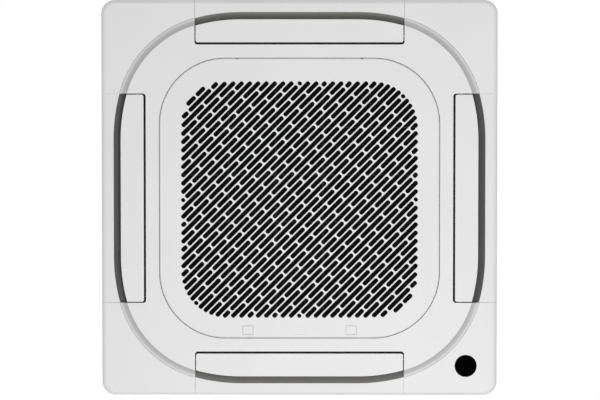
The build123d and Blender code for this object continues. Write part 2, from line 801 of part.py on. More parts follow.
shroud_curve_r = fan_r - shroud_inlet_r
shroud_out_z = shroud_inlet_z + shroud_curve_r
hub_low = dome_low - hub_height
with BuildPart() as turbo_fan:
    # shroud: the flared ring round the inlet
    with BuildSketch(Plane.XZ):
        with BuildLine():
            CenterArc((fan_r, shroud_inlet_z), shroud_curve_r, 90, 90)
            Line((fan_r, shroud_out_z), (fan_r, shroud_out_z - fan_wall))
            CenterArc((fan_r, shroud_inlet_z), shroud_curve_r - fan_wall, 90, 90)
            Line((shroud_inlet_r, shroud_inlet_z), (shroud_inlet_r + fan_wall, shroud_inlet_z))
        make_face()
    revolve(axis=Axis.Z)
    # back plate with the dome that clears the motor, and the hub
    with BuildSketch(Plane.XZ):
        with BuildLine():
            Polyline(
                (fan_r, fan_top),
                (dome_outer_r, fan_top),
                (dome_inner_r, dome_low),
                (shaft_r + seat_gap, dome_low),
                (shaft_r + seat_gap, hub_low),
                (hub_r, hub_low),
                (hub_r, dome_low - fan_wall),
                (dome_inner_r + fan_wall / 2, dome_low - fan_wall),
                (dome_outer_r + fan_wall / 2, fan_top - fan_wall),
                (fan_r, fan_top - fan_wall),
                close=True,
            )
        make_face()
    revolve(axis=Axis.Z)
    # backward-curved blades, cut to the room between shroud and back plate
    with BuildPart(mode=Mode.PRIVATE) as blades:
        with BuildSketch(Plane.XY.offset(shroud_inlet_z)):
            with PolarLocations(0, blade_count):
                with BuildLine():
                    front = ThreePointArc(
                        (blade_inner_r, 0), (shroud_inlet_r, blade_rise), (blade_turn_r, blade_sweep)
                    )
                    back = ThreePointArc(
                        (blade_inner_r - blade_thickness * 0.6, blade_thickness * 0.8),
                        (shroud_inlet_r - blade_thickness * 0.7, blade_rise + blade_thickness * 0.9),
                        (blade_turn_r - blade_thickness * 0.8, blade_sweep + blade_thickness * 0.6),
                    )
                    Line(front @ 0, back @ 0)
                    Line(front @ 1, back @ 1)
                make_face()
        extrude(amount=fan_height)
        with BuildSketch(Plane.XZ):
            with BuildLine():
                CenterArc((fan_r, shroud_inlet_z), shroud_curve_r - fan_wall / 2, 90, 90)
                Polyline(
                    (fan_r, shroud_out_z - fan_wall / 2),
                    (fan_r, fan_top - fan_wall / 2),
                    (dome_outer_r + fan_wall / 2, fan_top - fan_wall / 2),
                    (dome_inner_r, dome_low - fan_wall / 2),
                    (dome_inner_r + dome_clearance, lip_top + blade_rise),
                    (bell_throat_r + throat_gap / 2, lip_top + throat_gap / 2),
                    (shroud_inlet_r + fan_wall / 2, shroud_inlet_z),
                )
            make_face()
        revolve(axis=Axis.Z, mode=Mode.INTERSECT)
    add(blades.part)
finish(turbo_fan.part, "turbo_fan")

motor_step = 6.0
bracket_arm_width = 26.0
damper_r = 11.0
damper_reach = 100.0
bracket_arm = damper_reach + bracket_arm_width / 2
bracket_hole_r = 25.0
shaft_length_in = 20.0

with BuildPart() as motor_shaft:
    with BuildSketch(Plane.XY.offset(hub_low - nut_height - shaft_out)):
        Circle(shaft_r)
    extrude(amount=motor_low + shaft_length_in - hub_low + nut_height + shaft_out)
finish(motor_shaft.part, "motor_shaft")

with BuildPart() as fan_nut:
    with BuildSketch(Plane.XY.offset(hub_low - nut_height)):
        RegularPolygon(nut_r, 6)
        Circle(shaft_r, mode=Mode.SUBTRACT)
    extrude(amount=nut_height)
finish(fan_nut.part, "fan_nut")

with BuildPart() as fan_motor:
    with BuildSketch(Plane.XZ):
        with BuildLine():
            Polyline(
                (shaft_r + running_gap, motor_low),
                (fan_motor_r * 0.45, motor_low),
                (fan_motor_r * 0.55, motor_low + motor_step),
                (fan_motor_r - motor_step, motor_low + motor_step),
                (fan_motor_r, motor_low + 2 * motor_step),
                (fan_motor_r, motor_high - motor_step),
                (fan_motor_r - motor_step, motor_high),
                (0, motor_high),
                (0, motor_low + shaft_length_in + running_gap),
                (shaft_r + running_gap, motor_low + shaft_length_in + running_gap),
                close=True,
            )
        make_face()
    revolve(axis=Axis.Z)
finish(fan_motor.part, "fan_motor")

with BuildPart() as motor_bracket:
    with BuildSketch(Plane.XY.offset(motor_high)):
        Circle(fan_motor_r)
        for turn in (45, 135):
            with Locations(Location((0, 0, 0), (0, 0, turn))):
                SlotOverall(2 * bracket_arm, bracket_arm_width)
        Circle(bracket_hole_r, mode=Mode.SUBTRACT)
    extrude(amount=bracket_sheet)
finish(motor_bracket.part, "motor_bracket")

with BuildPart() as motor_dampers:
    with BuildSketch(Plane.XY.offset(motor_high + bracket_sheet)):
        with PolarLocations(damper_reach, 4, 45):
            Circle(damper_r)
    extrude(amount=damper_height)
finish(motor_dampers.part, "motor_dampers")


# ------------------------------------------------------------ coil and its pipes
coil_inner = trough_inner + coil_setback
coil_depth = 47.0
coil_outer = coil_inner + coil_depth
coil_outer_r = 55.0
coil_opening = 105.0
coil_end = coil_outer - coil_opening
tube_sheet_thickness = 1.5
tube_sheet_margin = 3.0
tube_r = 3.5
gas_pipe_r = 7.95
liquid_pipe_r = 4.75
gas_thread_r = 11.1
liquid_thread_r = 7.95
union_length = 22.0
union_shoulder = 3.5
gas_rise = 78.0
liquid_rise = 48.0
gas_z = trough_z + gas_rise
liquid_z = trough_z + liquid_rise
gas_header_inset = 13.0
gas_header_past = 24.0
liquid_header_inset = 10.0
liquid_header_past = 46.0
header_rise = 28.0
gas_header_drop = 23.8
liquid_header_drop = 43.8
gas_header_x = coil_outer - gas_header_inset
gas_header_y = -coil_end - gas_header_past
liquid_header_x = coil_inner + liquid_header_inset
liquid_header_y = -coil_end - liquid_header_past
header_wall = 1.0
header_low = trough_z + header_rise
gas_header_high = insulation_low - gas_header_drop
liquid_header_high = insulation_low - liquid_header_drop
pipe_reach = 50.0
pipe_end = casing_half + pipe_reach

with BuildPart() as coil_fins:
    with BuildSketch(Plane.XY.offset(trough_z)):
        add(soft_square(coil_outer, coil_outer_r))
        add(soft_square(coil_inner, coil_outer_r - coil_depth), mode=Mode.SUBTRACT)
        with Locations((coil_end + coil_opening, -coil_end - coil_opening)):
            Rectangle(2 * coil_opening, 2 * coil_opening, mode=Mode.SUBTRACT)
    extrude(amount=insulation_low - trough_z)
finish(coil_fins.part, "coil_fins")

coil_middle = coil_inner + coil_depth / 2
sheet_height = insulation_low - trough_z - 2 * tube_sheet_thickness
with BuildPart() as tube_sheets:
    with BuildSketch(Plane.XY.offset(trough_z + tube_sheet_thickness)):
        with Locations((coil_middle, -coil_end - tube_sheet_thickness / 2)):
            Rectangle(coil_depth + 2 * tube_sheet_margin, tube_sheet_thickness)
        with Locations((coil_end + tube_sheet_thickness / 2, -coil_middle)):
            Rectangle(tube_sheet_thickness, coil_depth + 2 * tube_sheet_margin)
    extrude(amount=sheet_height)
finish(tube_sheets.part, "tube_sheets")

# hairpin bends on the end of the -Y leg
bend_pitch = 42.0
bend_count = 4
bend_r = 10.5
bend_straight = 6.0
bend_start_z = trough_z + bend_pitch * 0.7
with BuildPart() as return_bends:
    for step in range(bend_count):
        z = bend_start_z + step * bend_pitch
        start = coil_end + tube_sheet_thickness
        curl = start + bend_straight
        with BuildLine():
            Line((start, -coil_middle, z), (curl, -coil_middle, z))
            ThreePointArc(
                (curl, -coil_middle, z),
                (curl + bend_r, -coil_middle, z + bend_r),
                (curl, -coil_middle, z + 2 * bend_r),
            )
            Line((curl, -coil_middle, z + 2 * bend_r), (start, -coil_middle, z + 2 * bend_r))
        with BuildSketch(Plane(origin=(start, -coil_middle, z), z_dir=(1, 0, 0))):
            Circle(tube_r)
        sweep()
finish(return_bends.part, "return_bends")


def header_pipe(x, y, high, pipe_r, pipe_z):
    """Upright header with its feeders to the coil and the pipe towards +X."""
    length = high - header_low
    with BuildPart() as pipe:
        with BuildSketch(Plane.XY.offset(header_low)):
            with Locations((x, y)):
                Circle(pipe_r + header_wall)
        extrude(amount=length)
        with BuildSketch(Plane.XZ.offset(coil_end + tube_sheet_thickness)):
            with Locations((x, header_low + length / 2)):
                with GridLocations(1, length * 0.3, 1, 3):
                    Circle(tube_r)
        extrude(amount=-y - coil_end - tube_sheet_thickness)
        with BuildSketch(Plane.YZ.offset(x)):
            with Locations((y, pipe_z)):
                Circle(pipe_r)
        extrude(amount=pipe_end - union_length - x)
    return pipe.part


gas_pipe = header_pipe(gas_header_x, gas_header_y, gas_header_high, gas_pipe_r, gas_z)
liquid_pipe = header_pipe(liquid_header_x, liquid_header_y, liquid_header_high, liquid_pipe_r, liquid_z)
finish(gas_pipe, "gas_pipe")
finish(liquid_pipe, "liquid_pipe")


def flare_union(y, z, thread_r):
    """Hexagon of a flare union with its outward thread."""
    with BuildPart() as union:
        with BuildSketch(Plane.YZ.offset(pipe_end - union_length)):
            with Locations((y, z)):
                RegularPolygon(thread_r + union_shoulder, 6)
        extrude(amount=union_length * 0.35)
        with BuildSketch(Plane.YZ.offset(pipe_end - union_length)):
            with Locations((y, z)):
                Circle(thread_r)
        extrude(amount=union_length)
        with BuildSketch(Plane.YZ.offset(pipe_end)):
            with Locations((y, z)):
                Circle(thread_r * 0.6)
        extrude(amount=-union_length * 0.6, mode=Mode.SUBTRACT)
    return union.part


finish(flare_union(gas_header_y, gas_z, gas_thread_r), "gas_union")
finish(flare_union(liquid_header_y, liquid_z, liquid_thread_r), "liquid_union")


# ------------------------------------------------------------ drain pump
pump_r = 26.0
pump_rise = 78.0
pump_height = 66.0
pump_low = trough_z + pump_rise
pump_high = pump_low + pump_height
pump_stem_r = 9.0
pump_nozzle = 7.0
hose_r = 8.0
hose_bend_r = 12.0
hose_rise = 40.0
spout_past = 36.0
spout_rise = 65.0
hose_straight = 35.0
hose_z = pump_low + hose_rise
spout_y = -coil_end - spout_past
spout_z = pump_low + spout_rise
spout_r = 16.0
spout_bore_r = 13.0
spout_inside = 25.0
spout_flange = 7.0
spout_flange_thickness = 3.0
spout_start = casing_half - spout_inside
float_from_pump = 35.0
float_x = pump_x - float_from_pump
float_shift_y = 5.0
float_y = pump_y + float_shift_y
float_r = 9.0
float_stem_r = 3.0
float_stop = 2.0
float_low = trough_z + seat_gap + float_stop + seat_gap
float_height = 12.0

with BuildPart() as drain_pump:
    with BuildSketch(Plane.XY.offset(pump_low)):
        with Locations((pump_x, pump_y)):
            Circle(pump_r)
    extrude(amount=pump_high - pump_low)
    with BuildSketch(Plane.XY.offset(trough_z + seat_gap)):
        with Locations((pump_x, pump_y)):
            Circle(pump_stem_r)
    extrude(amount=pump_low - trough_z - seat_gap)
    with BuildSketch(Plane.XZ.offset(-pump_y)):
        with Locations((pump_x, hose_z)):
            Circle(hose_r)
    extrude(amount=-pump_r - pump_nozzle)
finish(drain_pump.part, "drain_pump")

hose_start = pump_y + pump_r + pump_nozzle
with BuildPart() as drain_hose:
    with BuildLine():
        FilletPolyline(
            (pump_x, hose_start, hose_z),
            (pump_x, spout_y, hose_z),
            (spout_start - hose_straight, spout_y, spout_z),
            (spout_start + hose_r, spout_y, spout_z),
            radius=hose_bend_r,
        )
    with BuildSketch(Plane(origin=(pump_x, hose_start, hose_z), z_dir=(0, 1, 0))):
        Circle(hose_r)
    sweep()
finish(drain_hose.part, "drain_hose")

with BuildPart() as drain_spout:
    with BuildSketch(Plane.YZ.offset(spout_start)):
        with Locations((spout_y, spout_z)):
            Circle(spout_r)
            Circle(spout_bore_r, mode=Mode.SUBTRACT)
    extrude(amount=pipe_end - spout_start)
    with BuildSketch(Plane.YZ.offset(casing_half)):
        with Locations((spout_y, spout_z)):
            Circle(spout_r + spout_flange)
            Circle(spout_bore_r, mode=Mode.SUBTRACT)
    extrude(amount=spout_flange_thickness)
finish(drain_spout.part, "drain_spout")

pump_bracket_sheet = 2.0
bracket_x = (pump_x + float_x) / 2 - pump_bracket_sheet
bracket_width = float_from_pump + 1.5 * pump_r
bracket_depth = 2 * pump_r - pump_bracket_sheet
bracket_y = pump_y + pump_bracket_sheet
with BuildPart() as pump_bracket:
    with BuildSketch(Plane.XY.offset(pump_high)):
        with Locations((bracket_x, bracket_y)):
            Rectangle(bracket_width, bracket_depth)
    extrude(amount=pump_bracket_sheet)
    with BuildSketch(Plane.XY.offset(pump_high)):
        with Locations((bracket_x, bracket_y + pump_bracket_sheet / 2 - bracket_depth / 2)):
            Rectangle(bracket_width, pump_bracket_sheet)
    extrude(amount=insulation_low - pump_high)
finish(pump_bracket.part, "pump_bracket")

with BuildPart() as float_stem:
    with BuildSketch(Plane.XY.offset(trough_z + seat_gap)):
        with Locations((float_x, float_y)):
            Circle(float_stem_r)
    extrude(amount=pump_high - trough_z - seat_gap)
    with BuildSketch(Plane.XY.offset(trough_z + seat_gap)):
        with Locations((float_x, float_y)):
            Circle(float_r - float_stop)
    extrude(amount=float_stop)
finish(float_stem.part, "float_stem")

with BuildPart() as float_ring:
    with BuildSketch(Plane.XY.offset(float_low)):
        with Locations((float_x, float_y)):
            Circle(float_r)
            Circle(float_stem_r + running_gap, mode=Mode.SUBTRACT)
    extrude(amount=float_height)
finish(float_ring.part, "float_ring")


# ------------------------------------------------------------ casing, top plate and insulation
pipe_window_y = (gas_header_y + liquid_header_y) / 2
pipe_window_z = (gas_z + liquid_z) / 2
pipe_window_width = 54.0
pipe_window_height = 64.0
grommet_y = -60.0
grommet_rise = 71.0
grommet_z = casing_bottom + grommet_rise
grommet_r = 12.0
grommet_bore_r = 9.0
grommet_flange = 3.0
grommet_inside = 2.0
grommet_outside = 2.5
rib_height = 2.5
rib_width = 26.0
rib_inset = 165.0
rib_reach = casing_half - rib_inset
rib_length = rib_reach * 1.2
motor_hole_gap = 15.0
motor_hole_r = bracket_arm + motor_hole_gap
hole_depth = 60.0
hole_length = 70.0
cover_margin_y = 10.0
cover_margin_z = 8.0
cover_corner_r = 5.0


def side_hole(y, z, radius):
    """Round bar through the +X side of the body."""
    with BuildPart() as hole:
        with BuildSketch(Plane.YZ.offset(casing_half - hole_depth)):
            with Locations((y, z)):
                Circle(radius)
        extrude(amount=hole_length)
    return hole.part


with BuildPart() as casing_wall:
    with BuildSketch(Plane.XY.offset(casing_bottom)):
        add(casing_octagon(0))
        add(casing_octagon(sheet), mode=Mode.SUBTRACT)
    extrude(amount=casing_height - sheet)
    with BuildSketch(Plane.YZ.offset(casing_half)):
        with Locations((pipe_window_y, pipe_window_z)):
            Rectangle(pipe_window_width, pipe_window_height)
    extrude(amount=2 * sheet, both=True, mode=Mode.SUBTRACT)
    add(side_hole(spout_y, spout_z, spout_r + seat_gap), mode=Mode.SUBTRACT)
    add(side_hole(grommet_y, grommet_z, grommet_r + seat_gap), mode=Mode.SUBTRACT)
finish(casing_wall.part, "casing_wall")

with BuildPart() as pipe_cover:
    with BuildSketch(Plane.YZ.offset(casing_half)):
        with Locations((pipe_window_y, pipe_window_z)):
            RectangleRounded(
                pipe_window_width + 2 * cover_margin_y, pipe_window_height + 2 * cover_margin_z, cover_corner_r
            )
        with Locations((gas_header_y, gas_z)):
            Circle(gas_pipe_r + seat_gap, mode=Mode.SUBTRACT)
        with Locations((liquid_header_y, liquid_z)):
            Circle(liquid_pipe_r + seat_gap, mode=Mode.SUBTRACT)
    extrude(amount=sheet)
finish(pipe_cover.part, "pipe_cover")

with BuildPart() as cable_grommet:
    for start, length, radius in (
        (casing_half - sheet - grommet_inside, grommet_inside, grommet_r + grommet_flange),
        (casing_half - sheet, sheet, grommet_r),
        (casing_half, grommet_outside, grommet_r + grommet_flange),
    ):
        with BuildSketch(Plane.YZ.offset(start)):
            with Locations((grommet_y, grommet_z)):
                Circle(radius)
                Circle(grommet_bore_r, mode=Mode.SUBTRACT)
        extrude(amount=length)
finish(cable_grommet.part, "cable_grommet")

with BuildPart() as top_plate:
    with BuildSketch(Plane.XY.offset(plate_under)):
        add(casing_octagon(0))
    extrude(amount=sheet)
    # pressed ribs: one along each side and two across the middle
    with BuildSketch(Plane.XY.offset(casing_top)):
        with PolarLocations(rib_reach, 4):
            SlotOverall(rib_length, rib_width, rotation=90)
        with PolarLocations(rib_reach * 0.62, 4, 45):
            SlotOverall(rib_length * 0.5, rib_width)
    extrude(amount=rib_height)
finish(top_plate.part, "top_plate")

with BuildPart() as insulation_top:
    with BuildSketch(Plane.XY.offset(insulation_low)):
        add(casing_octagon(sheet))
        Circle(motor_hole_r, mode=Mode.SUBTRACT)
    extrude(amount=insulation)
finish(insulation_top.part, "insulation_top")

with BuildPart() as insulation_wall:
    with BuildSketch(Plane.XY.offset(pan_top)):
        add(casing_octagon(sheet))
        add(casing_octagon(sheet + insulation), mode=Mode.SUBTRACT)
    extrude(amount=insulation_low - pan_top)
    add(side_hole(spout_y, spout_z, spout_r + seat_gap), mode=Mode.SUBTRACT)
    add(side_hole(gas_header_y, gas_z, gas_pipe_r + seat_gap), mode=Mode.SUBTRACT)
    add(side_hole(liquid_header_y, liquid_z, liquid_pipe_r + seat_gap), mode=Mode.SUBTRACT)
    add(side_hole(grommet_y, grommet_z, grommet_r + grommet_flange + running_gap), mode=Mode.SUBTRACT)
finish(insulation_wall.part, "insulation_wall")


# ------------------------------------------------------------ hanger brackets and panel screws
hanger_sheet = 2.5
hanger_inset_x = 30.0
hanger_inset_y = 80.0
hanger_x = casing_half - hanger_inset_x
hanger_y = casing_half - hanger_inset_y
hanger_slot_length = 26.0
hanger_slot_r = 6.5
hanger_ear_rise = 116.0
hanger_ear_z = casing_bottom + hanger_ear_rise
hanger_plate_low = -64.0
hanger_plate_high = 34.0
hanger_plate_rise = 20.0
hanger_plate_top = hanger_ear_z + hanger_plate_rise
hanger_plate_drop = 60.0
foot_width = 56.0
foot_rise = 30.0
foot_end = 14.0
ear_end = 25.0
chamfer_reach = (2 * casing_half - casing_chamfer) / sqrt(2)
slot_out = (hanger_x + hanger_y) / sqrt(2)
slot_side = (hanger_y - hanger_x) / sqrt(2)
foot_out = screw_reach * sqrt(2)
ear_out = slot_out + ear_end

with BuildPart() as hanger_bracket:
    out = Vector(1, 1, 0)
    side = Vector(-1, 1, 0)
    with BuildSketch(Plane(origin=out.normalized() * chamfer_reach, x_dir=side, z_dir=out)):
        with BuildLine():
            Polyline(
                (hanger_plate_low, hanger_plate_top),
                (hanger_plate_low, hanger_plate_top - hanger_plate_drop),
                (-foot_width / 2, panel_depth + foot_rise),
                (-foot_width / 2, panel_depth),
                (foot_width / 2, panel_depth),
                (foot_width / 2, panel_depth + foot_rise),
                (hanger_plate_high, hanger_plate_top - hanger_plate_drop),
                (hanger_plate_high, hanger_plate_top),
                close=True,
            )
        make_face()
    extrude(amount=hanger_sheet)
    # foot that the panel is screwed to
    with BuildSketch(Plane(origin=(0, 0, panel_depth), x_dir=out, z_dir=(0, 0, 1))):
        with Locations(((chamfer_reach + foot_out + foot_end) / 2, 0)):
            Rectangle(foot_out + foot_end - chamfer_reach, foot_width)
        with Locations((foot_out, 0)):
            Circle(screw_r + seat_gap, mode=Mode.SUBTRACT)
    extrude(amount=hanger_sheet)
    # ear that hangs on the ceiling rod
    with BuildSketch(Plane(origin=(0, 0, hanger_ear_z), x_dir=out, z_dir=(0, 0, 1))):
        with Locations(((chamfer_reach + ear_out) / 2, slot_side)):
            Rectangle(ear_out - chamfer_reach, foot_width)
        with Locations((slot_out, slot_side)):
            SlotOverall(hanger_slot_length, 2 * hanger_slot_r, rotation=-45, mode=Mode.SUBTRACT)
    extrude(amount=hanger_sheet)

hanger_xp_yp = hanger_bracket.part
hanger_xn_yp = hanger_xp_yp.mirror(Plane.YZ)
finish(hanger_xp_yp, "hanger_bracket_xp_yp")
finish(hanger_xn_yp, "hanger_bracket_xn_yp")
finish(hanger_xp_yp.mirror(Plane.XZ), "hanger_bracket_xp_yn")
finish(hanger_xn_yp.mirror(Plane.XZ), "hanger_bracket_xn_yn")

screw_head_r = 6.0
screw_head = 4.0
screw_nut = 5.0
with BuildPart() as panel_screw:
    with BuildSketch(Plane.XY.offset(corner_plate_z)):
        with Locations((screw_reach, screw_reach)):
            Circle(screw_head_r)
    extrude(amount=-screw_head)
    with BuildSketch(Plane.XY.offset(corner_plate_z)):
        with Locations((screw_reach, screw_reach)):
            Circle(screw_r)
    extrude(amount=panel_wall + hanger_sheet + screw_nut)
    with BuildSketch(Plane.XY.offset(panel_depth + hanger_sheet)):
        with Locations((screw_reach, screw_reach)):
            RegularPolygon(screw_head_r, 6)
    extrude(amount=screw_nut)
panel_screws = Part() + [panel_screw.part.rotate(Axis.Z, angle) for angle in corner_angles.values()]
finish(panel_screws, "panel_screws")


# ------------------------------------------------------------ control box beside the bell mouth
box_gap = 9.0
box_width = 89.0
box_half_length = 130.0
box_outer_x = well_wall_half - box_gap
box_inner_x = box_outer_x - box_width
box_depth = 27.5
box_low = rim_low - box_depth
box_sheet = 1.5
box_lid = 1.5
lid_corner_r = 4.0
post_r = 3.0
post_length = 6.0
post_span_x = 60.0
circuit_width = 74.0
circuit_margin = 15.0
circuit_thickness = 1.6
coil_can_r = 7.0
part_height = 14.0
terminal_width = 24.0
terminal_length = 60.0
terminal_margin = 10.0
terminal_y = terminal_margin + terminal_length / 2 - box_half_length
circuit_length = 2 * (box_half_length - circuit_margin) - terminal_length
circuit_y = box_half_length - circuit_margin - circuit_length / 2
post_inset = 10.0
post_span_y = circuit_length - 2 * post_inset
terminal_height = 15.0
terminal_rib = 1.5
terminal_rib_height = 4.0
terminal_pitch = 10.0

box_middle = (box_inner_x + box_outer_x) / 2
with BuildPart() as control_box:
    with BuildSketch(Plane.XY.offset(box_low)):
        with Locations((box_middle, 0)):
            Rectangle(box_width, 2 * box_half_length)
    extrude(amount=rim_low - box_low)
    with BuildSketch(Plane.XY.offset(box_low)):
        with Locations((box_middle, 0)):
            Rectangle(box_width - 2 * box_sheet, 2 * (box_half_length - box_sheet))
    extrude(amount=rim_low - box_low - box_sheet, mode=Mode.SUBTRACT)
    with BuildSketch(Plane.XY.offset(rim_low - box_sheet)):
        with Locations((box_middle, circuit_y)):
            with GridLocations(post_span_x, post_span_y, 2, 2):
                Circle(post_r)
    extrude(amount=-post_length)
finish(control_box.part, "control_box")

with BuildPart() as control_box_cover:
    with BuildSketch(Plane.XY.offset(box_low - box_lid)):
        with Locations((box_middle, 0)):
            RectangleRounded(box_width, 2 * box_half_length, lid_corner_r)
    extrude(amount=box_lid)
finish(control_box_cover.part, "control_box_cover")

board_level = rim_low - box_sheet - post_length
with BuildPart() as circuit_board:
    with BuildSketch(Plane.XY.offset(board_level - circuit_thickness)):
        with Locations((box_middle, circuit_y)):
            Rectangle(circuit_width, circuit_length)
    extrude(amount=circuit_thickness)
    # transformer, capacitors and a relay, hanging from the board
    with BuildSketch(Plane.XY.offset(board_level - circuit_thickness)):
        with Locations((box_middle - 2 * coil_can_r, circuit_y + 4 * coil_can_r)):
            Rectangle(4 * coil_can_r, 3.4 * coil_can_r)
        with Locations((box_middle + 2.5 * coil_can_r, circuit_y)):
            with GridLocations(1, 4.3 * coil_can_r, 1, 2):
                Circle(coil_can_r)
        with Locations((box_middle - 1.7 * coil_can_r, circuit_y - 4.3 * coil_can_r)):
            Rectangle(2.3 * coil_can_r, 4.3 * coil_can_r)
    extrude(amount=-part_height)
finish(circuit_board.part, "circuit_board")

with BuildPart() as terminal_block:
    with BuildSketch(Plane.XY.offset(rim_low - box_sheet)):
        with Locations((box_middle, terminal_y)):
            Rectangle(terminal_width, terminal_length)
    extrude(amount=-terminal_height)
    with BuildSketch(Plane.XY.offset(rim_low - box_sheet - terminal_height)):
        with Locations((box_middle, terminal_y)):
            with GridLocations(1, terminal_pitch, 1, 6):
                Rectangle(terminal_width, terminal_rib)
    extrude(amount=-terminal_rib_height)
finish(terminal_block.part, "terminal_block")

sensor_length = 26.0
sensor_r = 3.0
sensor_clip = 1.5
sensor_seat = 3.0
sensor_x = sensor_length / 2 - sensor_seat - bell_rim_r
with BuildPart() as room_sensor:
    with BuildSketch(Plane.XZ):
        with Locations((sensor_x, rim_low - sensor_r - sensor_clip / 2)):
            Circle(sensor_r)
    extrude(amount=sensor_length / 2, both=True)
    with BuildSketch(Plane.XY.offset(rim_low - sensor_clip)):
        with Locations((sensor_x, 0)):
            Rectangle(3 * sensor_r, sensor_length / 2)
    extrude(amount=sensor_clip)
finish(room_sensor.part, "room_sensor")
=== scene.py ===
import json
import math

import bpy
from mathutils import Matrix, Vector


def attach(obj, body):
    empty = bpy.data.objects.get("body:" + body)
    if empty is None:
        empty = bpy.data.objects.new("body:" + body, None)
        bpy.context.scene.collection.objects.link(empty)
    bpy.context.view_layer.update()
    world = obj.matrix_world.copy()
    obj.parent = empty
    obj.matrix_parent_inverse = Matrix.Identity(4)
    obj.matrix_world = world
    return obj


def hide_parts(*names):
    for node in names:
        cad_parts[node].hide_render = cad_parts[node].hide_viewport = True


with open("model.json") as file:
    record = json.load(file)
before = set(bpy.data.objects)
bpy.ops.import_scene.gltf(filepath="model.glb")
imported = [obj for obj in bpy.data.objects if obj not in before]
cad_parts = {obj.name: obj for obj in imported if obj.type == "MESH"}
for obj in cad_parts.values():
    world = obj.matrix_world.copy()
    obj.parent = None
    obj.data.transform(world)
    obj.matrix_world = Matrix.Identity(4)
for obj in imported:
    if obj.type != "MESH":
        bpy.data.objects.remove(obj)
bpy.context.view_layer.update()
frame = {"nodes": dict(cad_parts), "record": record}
nodes = frame["nodes"]
MM = 0.001
SIDES = ("yp", "xn", "yn", "xp")  # each side's outlet, a quarter turn from the one before
CORNERS = ((1, 1), (-1, 1), (-1, -1), (1, -1))  # in the order that 90 degree arcs join them


# ------------------------------------------------------------ nodes that materials are made of
EDGE_RADIUS = 0.5 * MM
EDGE_SAMPLES = 6


def material(name):
    mat = bpy.data.materials.new(name)
    mat.use_nodes = True
    tree = mat.node_tree
    tree.nodes.clear()
    out = tree.nodes.new("ShaderNodeOutputMaterial")
    shader = tree.nodes.new("ShaderNodeBsdfPrincipled")
    tree.links.new(shader.outputs["BSDF"], out.inputs["Surface"])
    return mat, tree, shader


def object_place(tree):
    return tree.nodes.new("ShaderNodeTexCoord").outputs["Object"]


def split_place(tree):
    split = tree.nodes.new("ShaderNodeSeparateXYZ")
    tree.links.new(object_place(tree), split.inputs["Vector"])
    return split.outputs


def noise(tree, scale, detail=2.0, stretch=(1, 1, 1)):
    mapping = tree.nodes.new("ShaderNodeMapping")
    mapping.inputs["Scale"].default_value = stretch
    texture = tree.nodes.new("ShaderNodeTexNoise")
    texture.inputs["Scale"].default_value = scale
    texture.inputs["Detail"].default_value = detail
    tree.links.new(object_place(tree), mapping.inputs["Vector"])
    tree.links.new(mapping.outputs["Vector"], texture.inputs["Vector"])
    return texture.outputs["Fac"]


def cells(tree, scale, feature, output):
    texture = tree.nodes.new("ShaderNodeTexVoronoi")
    texture.feature = feature
    texture.inputs["Scale"].default_value = scale
    tree.links.new(object_place(tree), texture.inputs["Vector"])
    return texture.outputs[output]


def arithmetic(tree, operation, first, second):
    """One sum on a socket and a second value, which is a number or a socket."""
    node = tree.nodes.new("ShaderNodeMath")
    node.operation = operation
    tree.links.new(first, node.inputs[0])
    if isinstance(second, float):
        node.inputs[1].default_value = second
    else:
        tree.links.new(second, node.inputs[1])
    return node.outputs["Value"]


def rgba(value):
    """A colour, or a number as a grey."""
    return (*value, 1) if isinstance(value, tuple) else (value, value, value, 1)


def vary(tree, shader, socket, source, low, high, start=0.3, end=0.7):
    """Drives a colour or a number of the shader from a texture, between two values."""
    ramp = tree.nodes.new("ShaderNodeValToRGB")
    first, last = ramp.color_ramp.elements
    first.position, last.position = start, end
    first.color, last.color = rgba(low), rgba(high)
    tree.links.new(source, ramp.inputs["Fac"])
    tree.links.new(ramp.outputs["Color"], shader.inputs[socket])


def bump(tree, shader, source, strength, depth):
    """Relief from a texture, on top of edges that look slightly rounded."""
    edges = tree.nodes.new("ShaderNodeBevel")
    edges.samples = EDGE_SAMPLES
    edges.inputs["Radius"].default_value = EDGE_RADIUS
    node = tree.nodes.new("ShaderNodeBump")
    node.inputs["Strength"].default_value = strength
    node.inputs["Distance"].default_value = depth
    tree.links.new(edges.outputs["Normal"], node.inputs["Normal"])
    tree.links.new(source, node.inputs["Height"])
    tree.links.new(node.outputs["Normal"], shader.inputs["Normal"])


def darker(colour, share):
    return tuple(c * (1 - share) for c in colour)


def lighter(colour, share):
    return tuple(min(1, c * (1 + share)) for c in colour)


# ------------------------------------------------------------ kinds of material
def moulded(name, colour, rough, spread=0.015, grain=2600, strength=0.12, specular=0.5):
    """Injection-moulded plastic: a fine spark-eroded grain and a faint change of tone."""
    cloud_scale, cloud_detail = 5.0, 3
    rough_spread, grain_depth = 0.05, 0.04 * MM
    mat, tree, shader = material(name)
    low, high = darker(colour, spread), lighter(colour, spread)
    vary(tree, shader, "Base Color", noise(tree, cloud_scale, cloud_detail), low, high)
    fine = noise(tree, grain)
    vary(tree, shader, "Roughness", fine, rough - rough_spread, rough + rough_spread)
    bump(tree, shader, fine, strength, grain_depth)
    shader.inputs["Specular IOR Level"].default_value = specular
    return mat


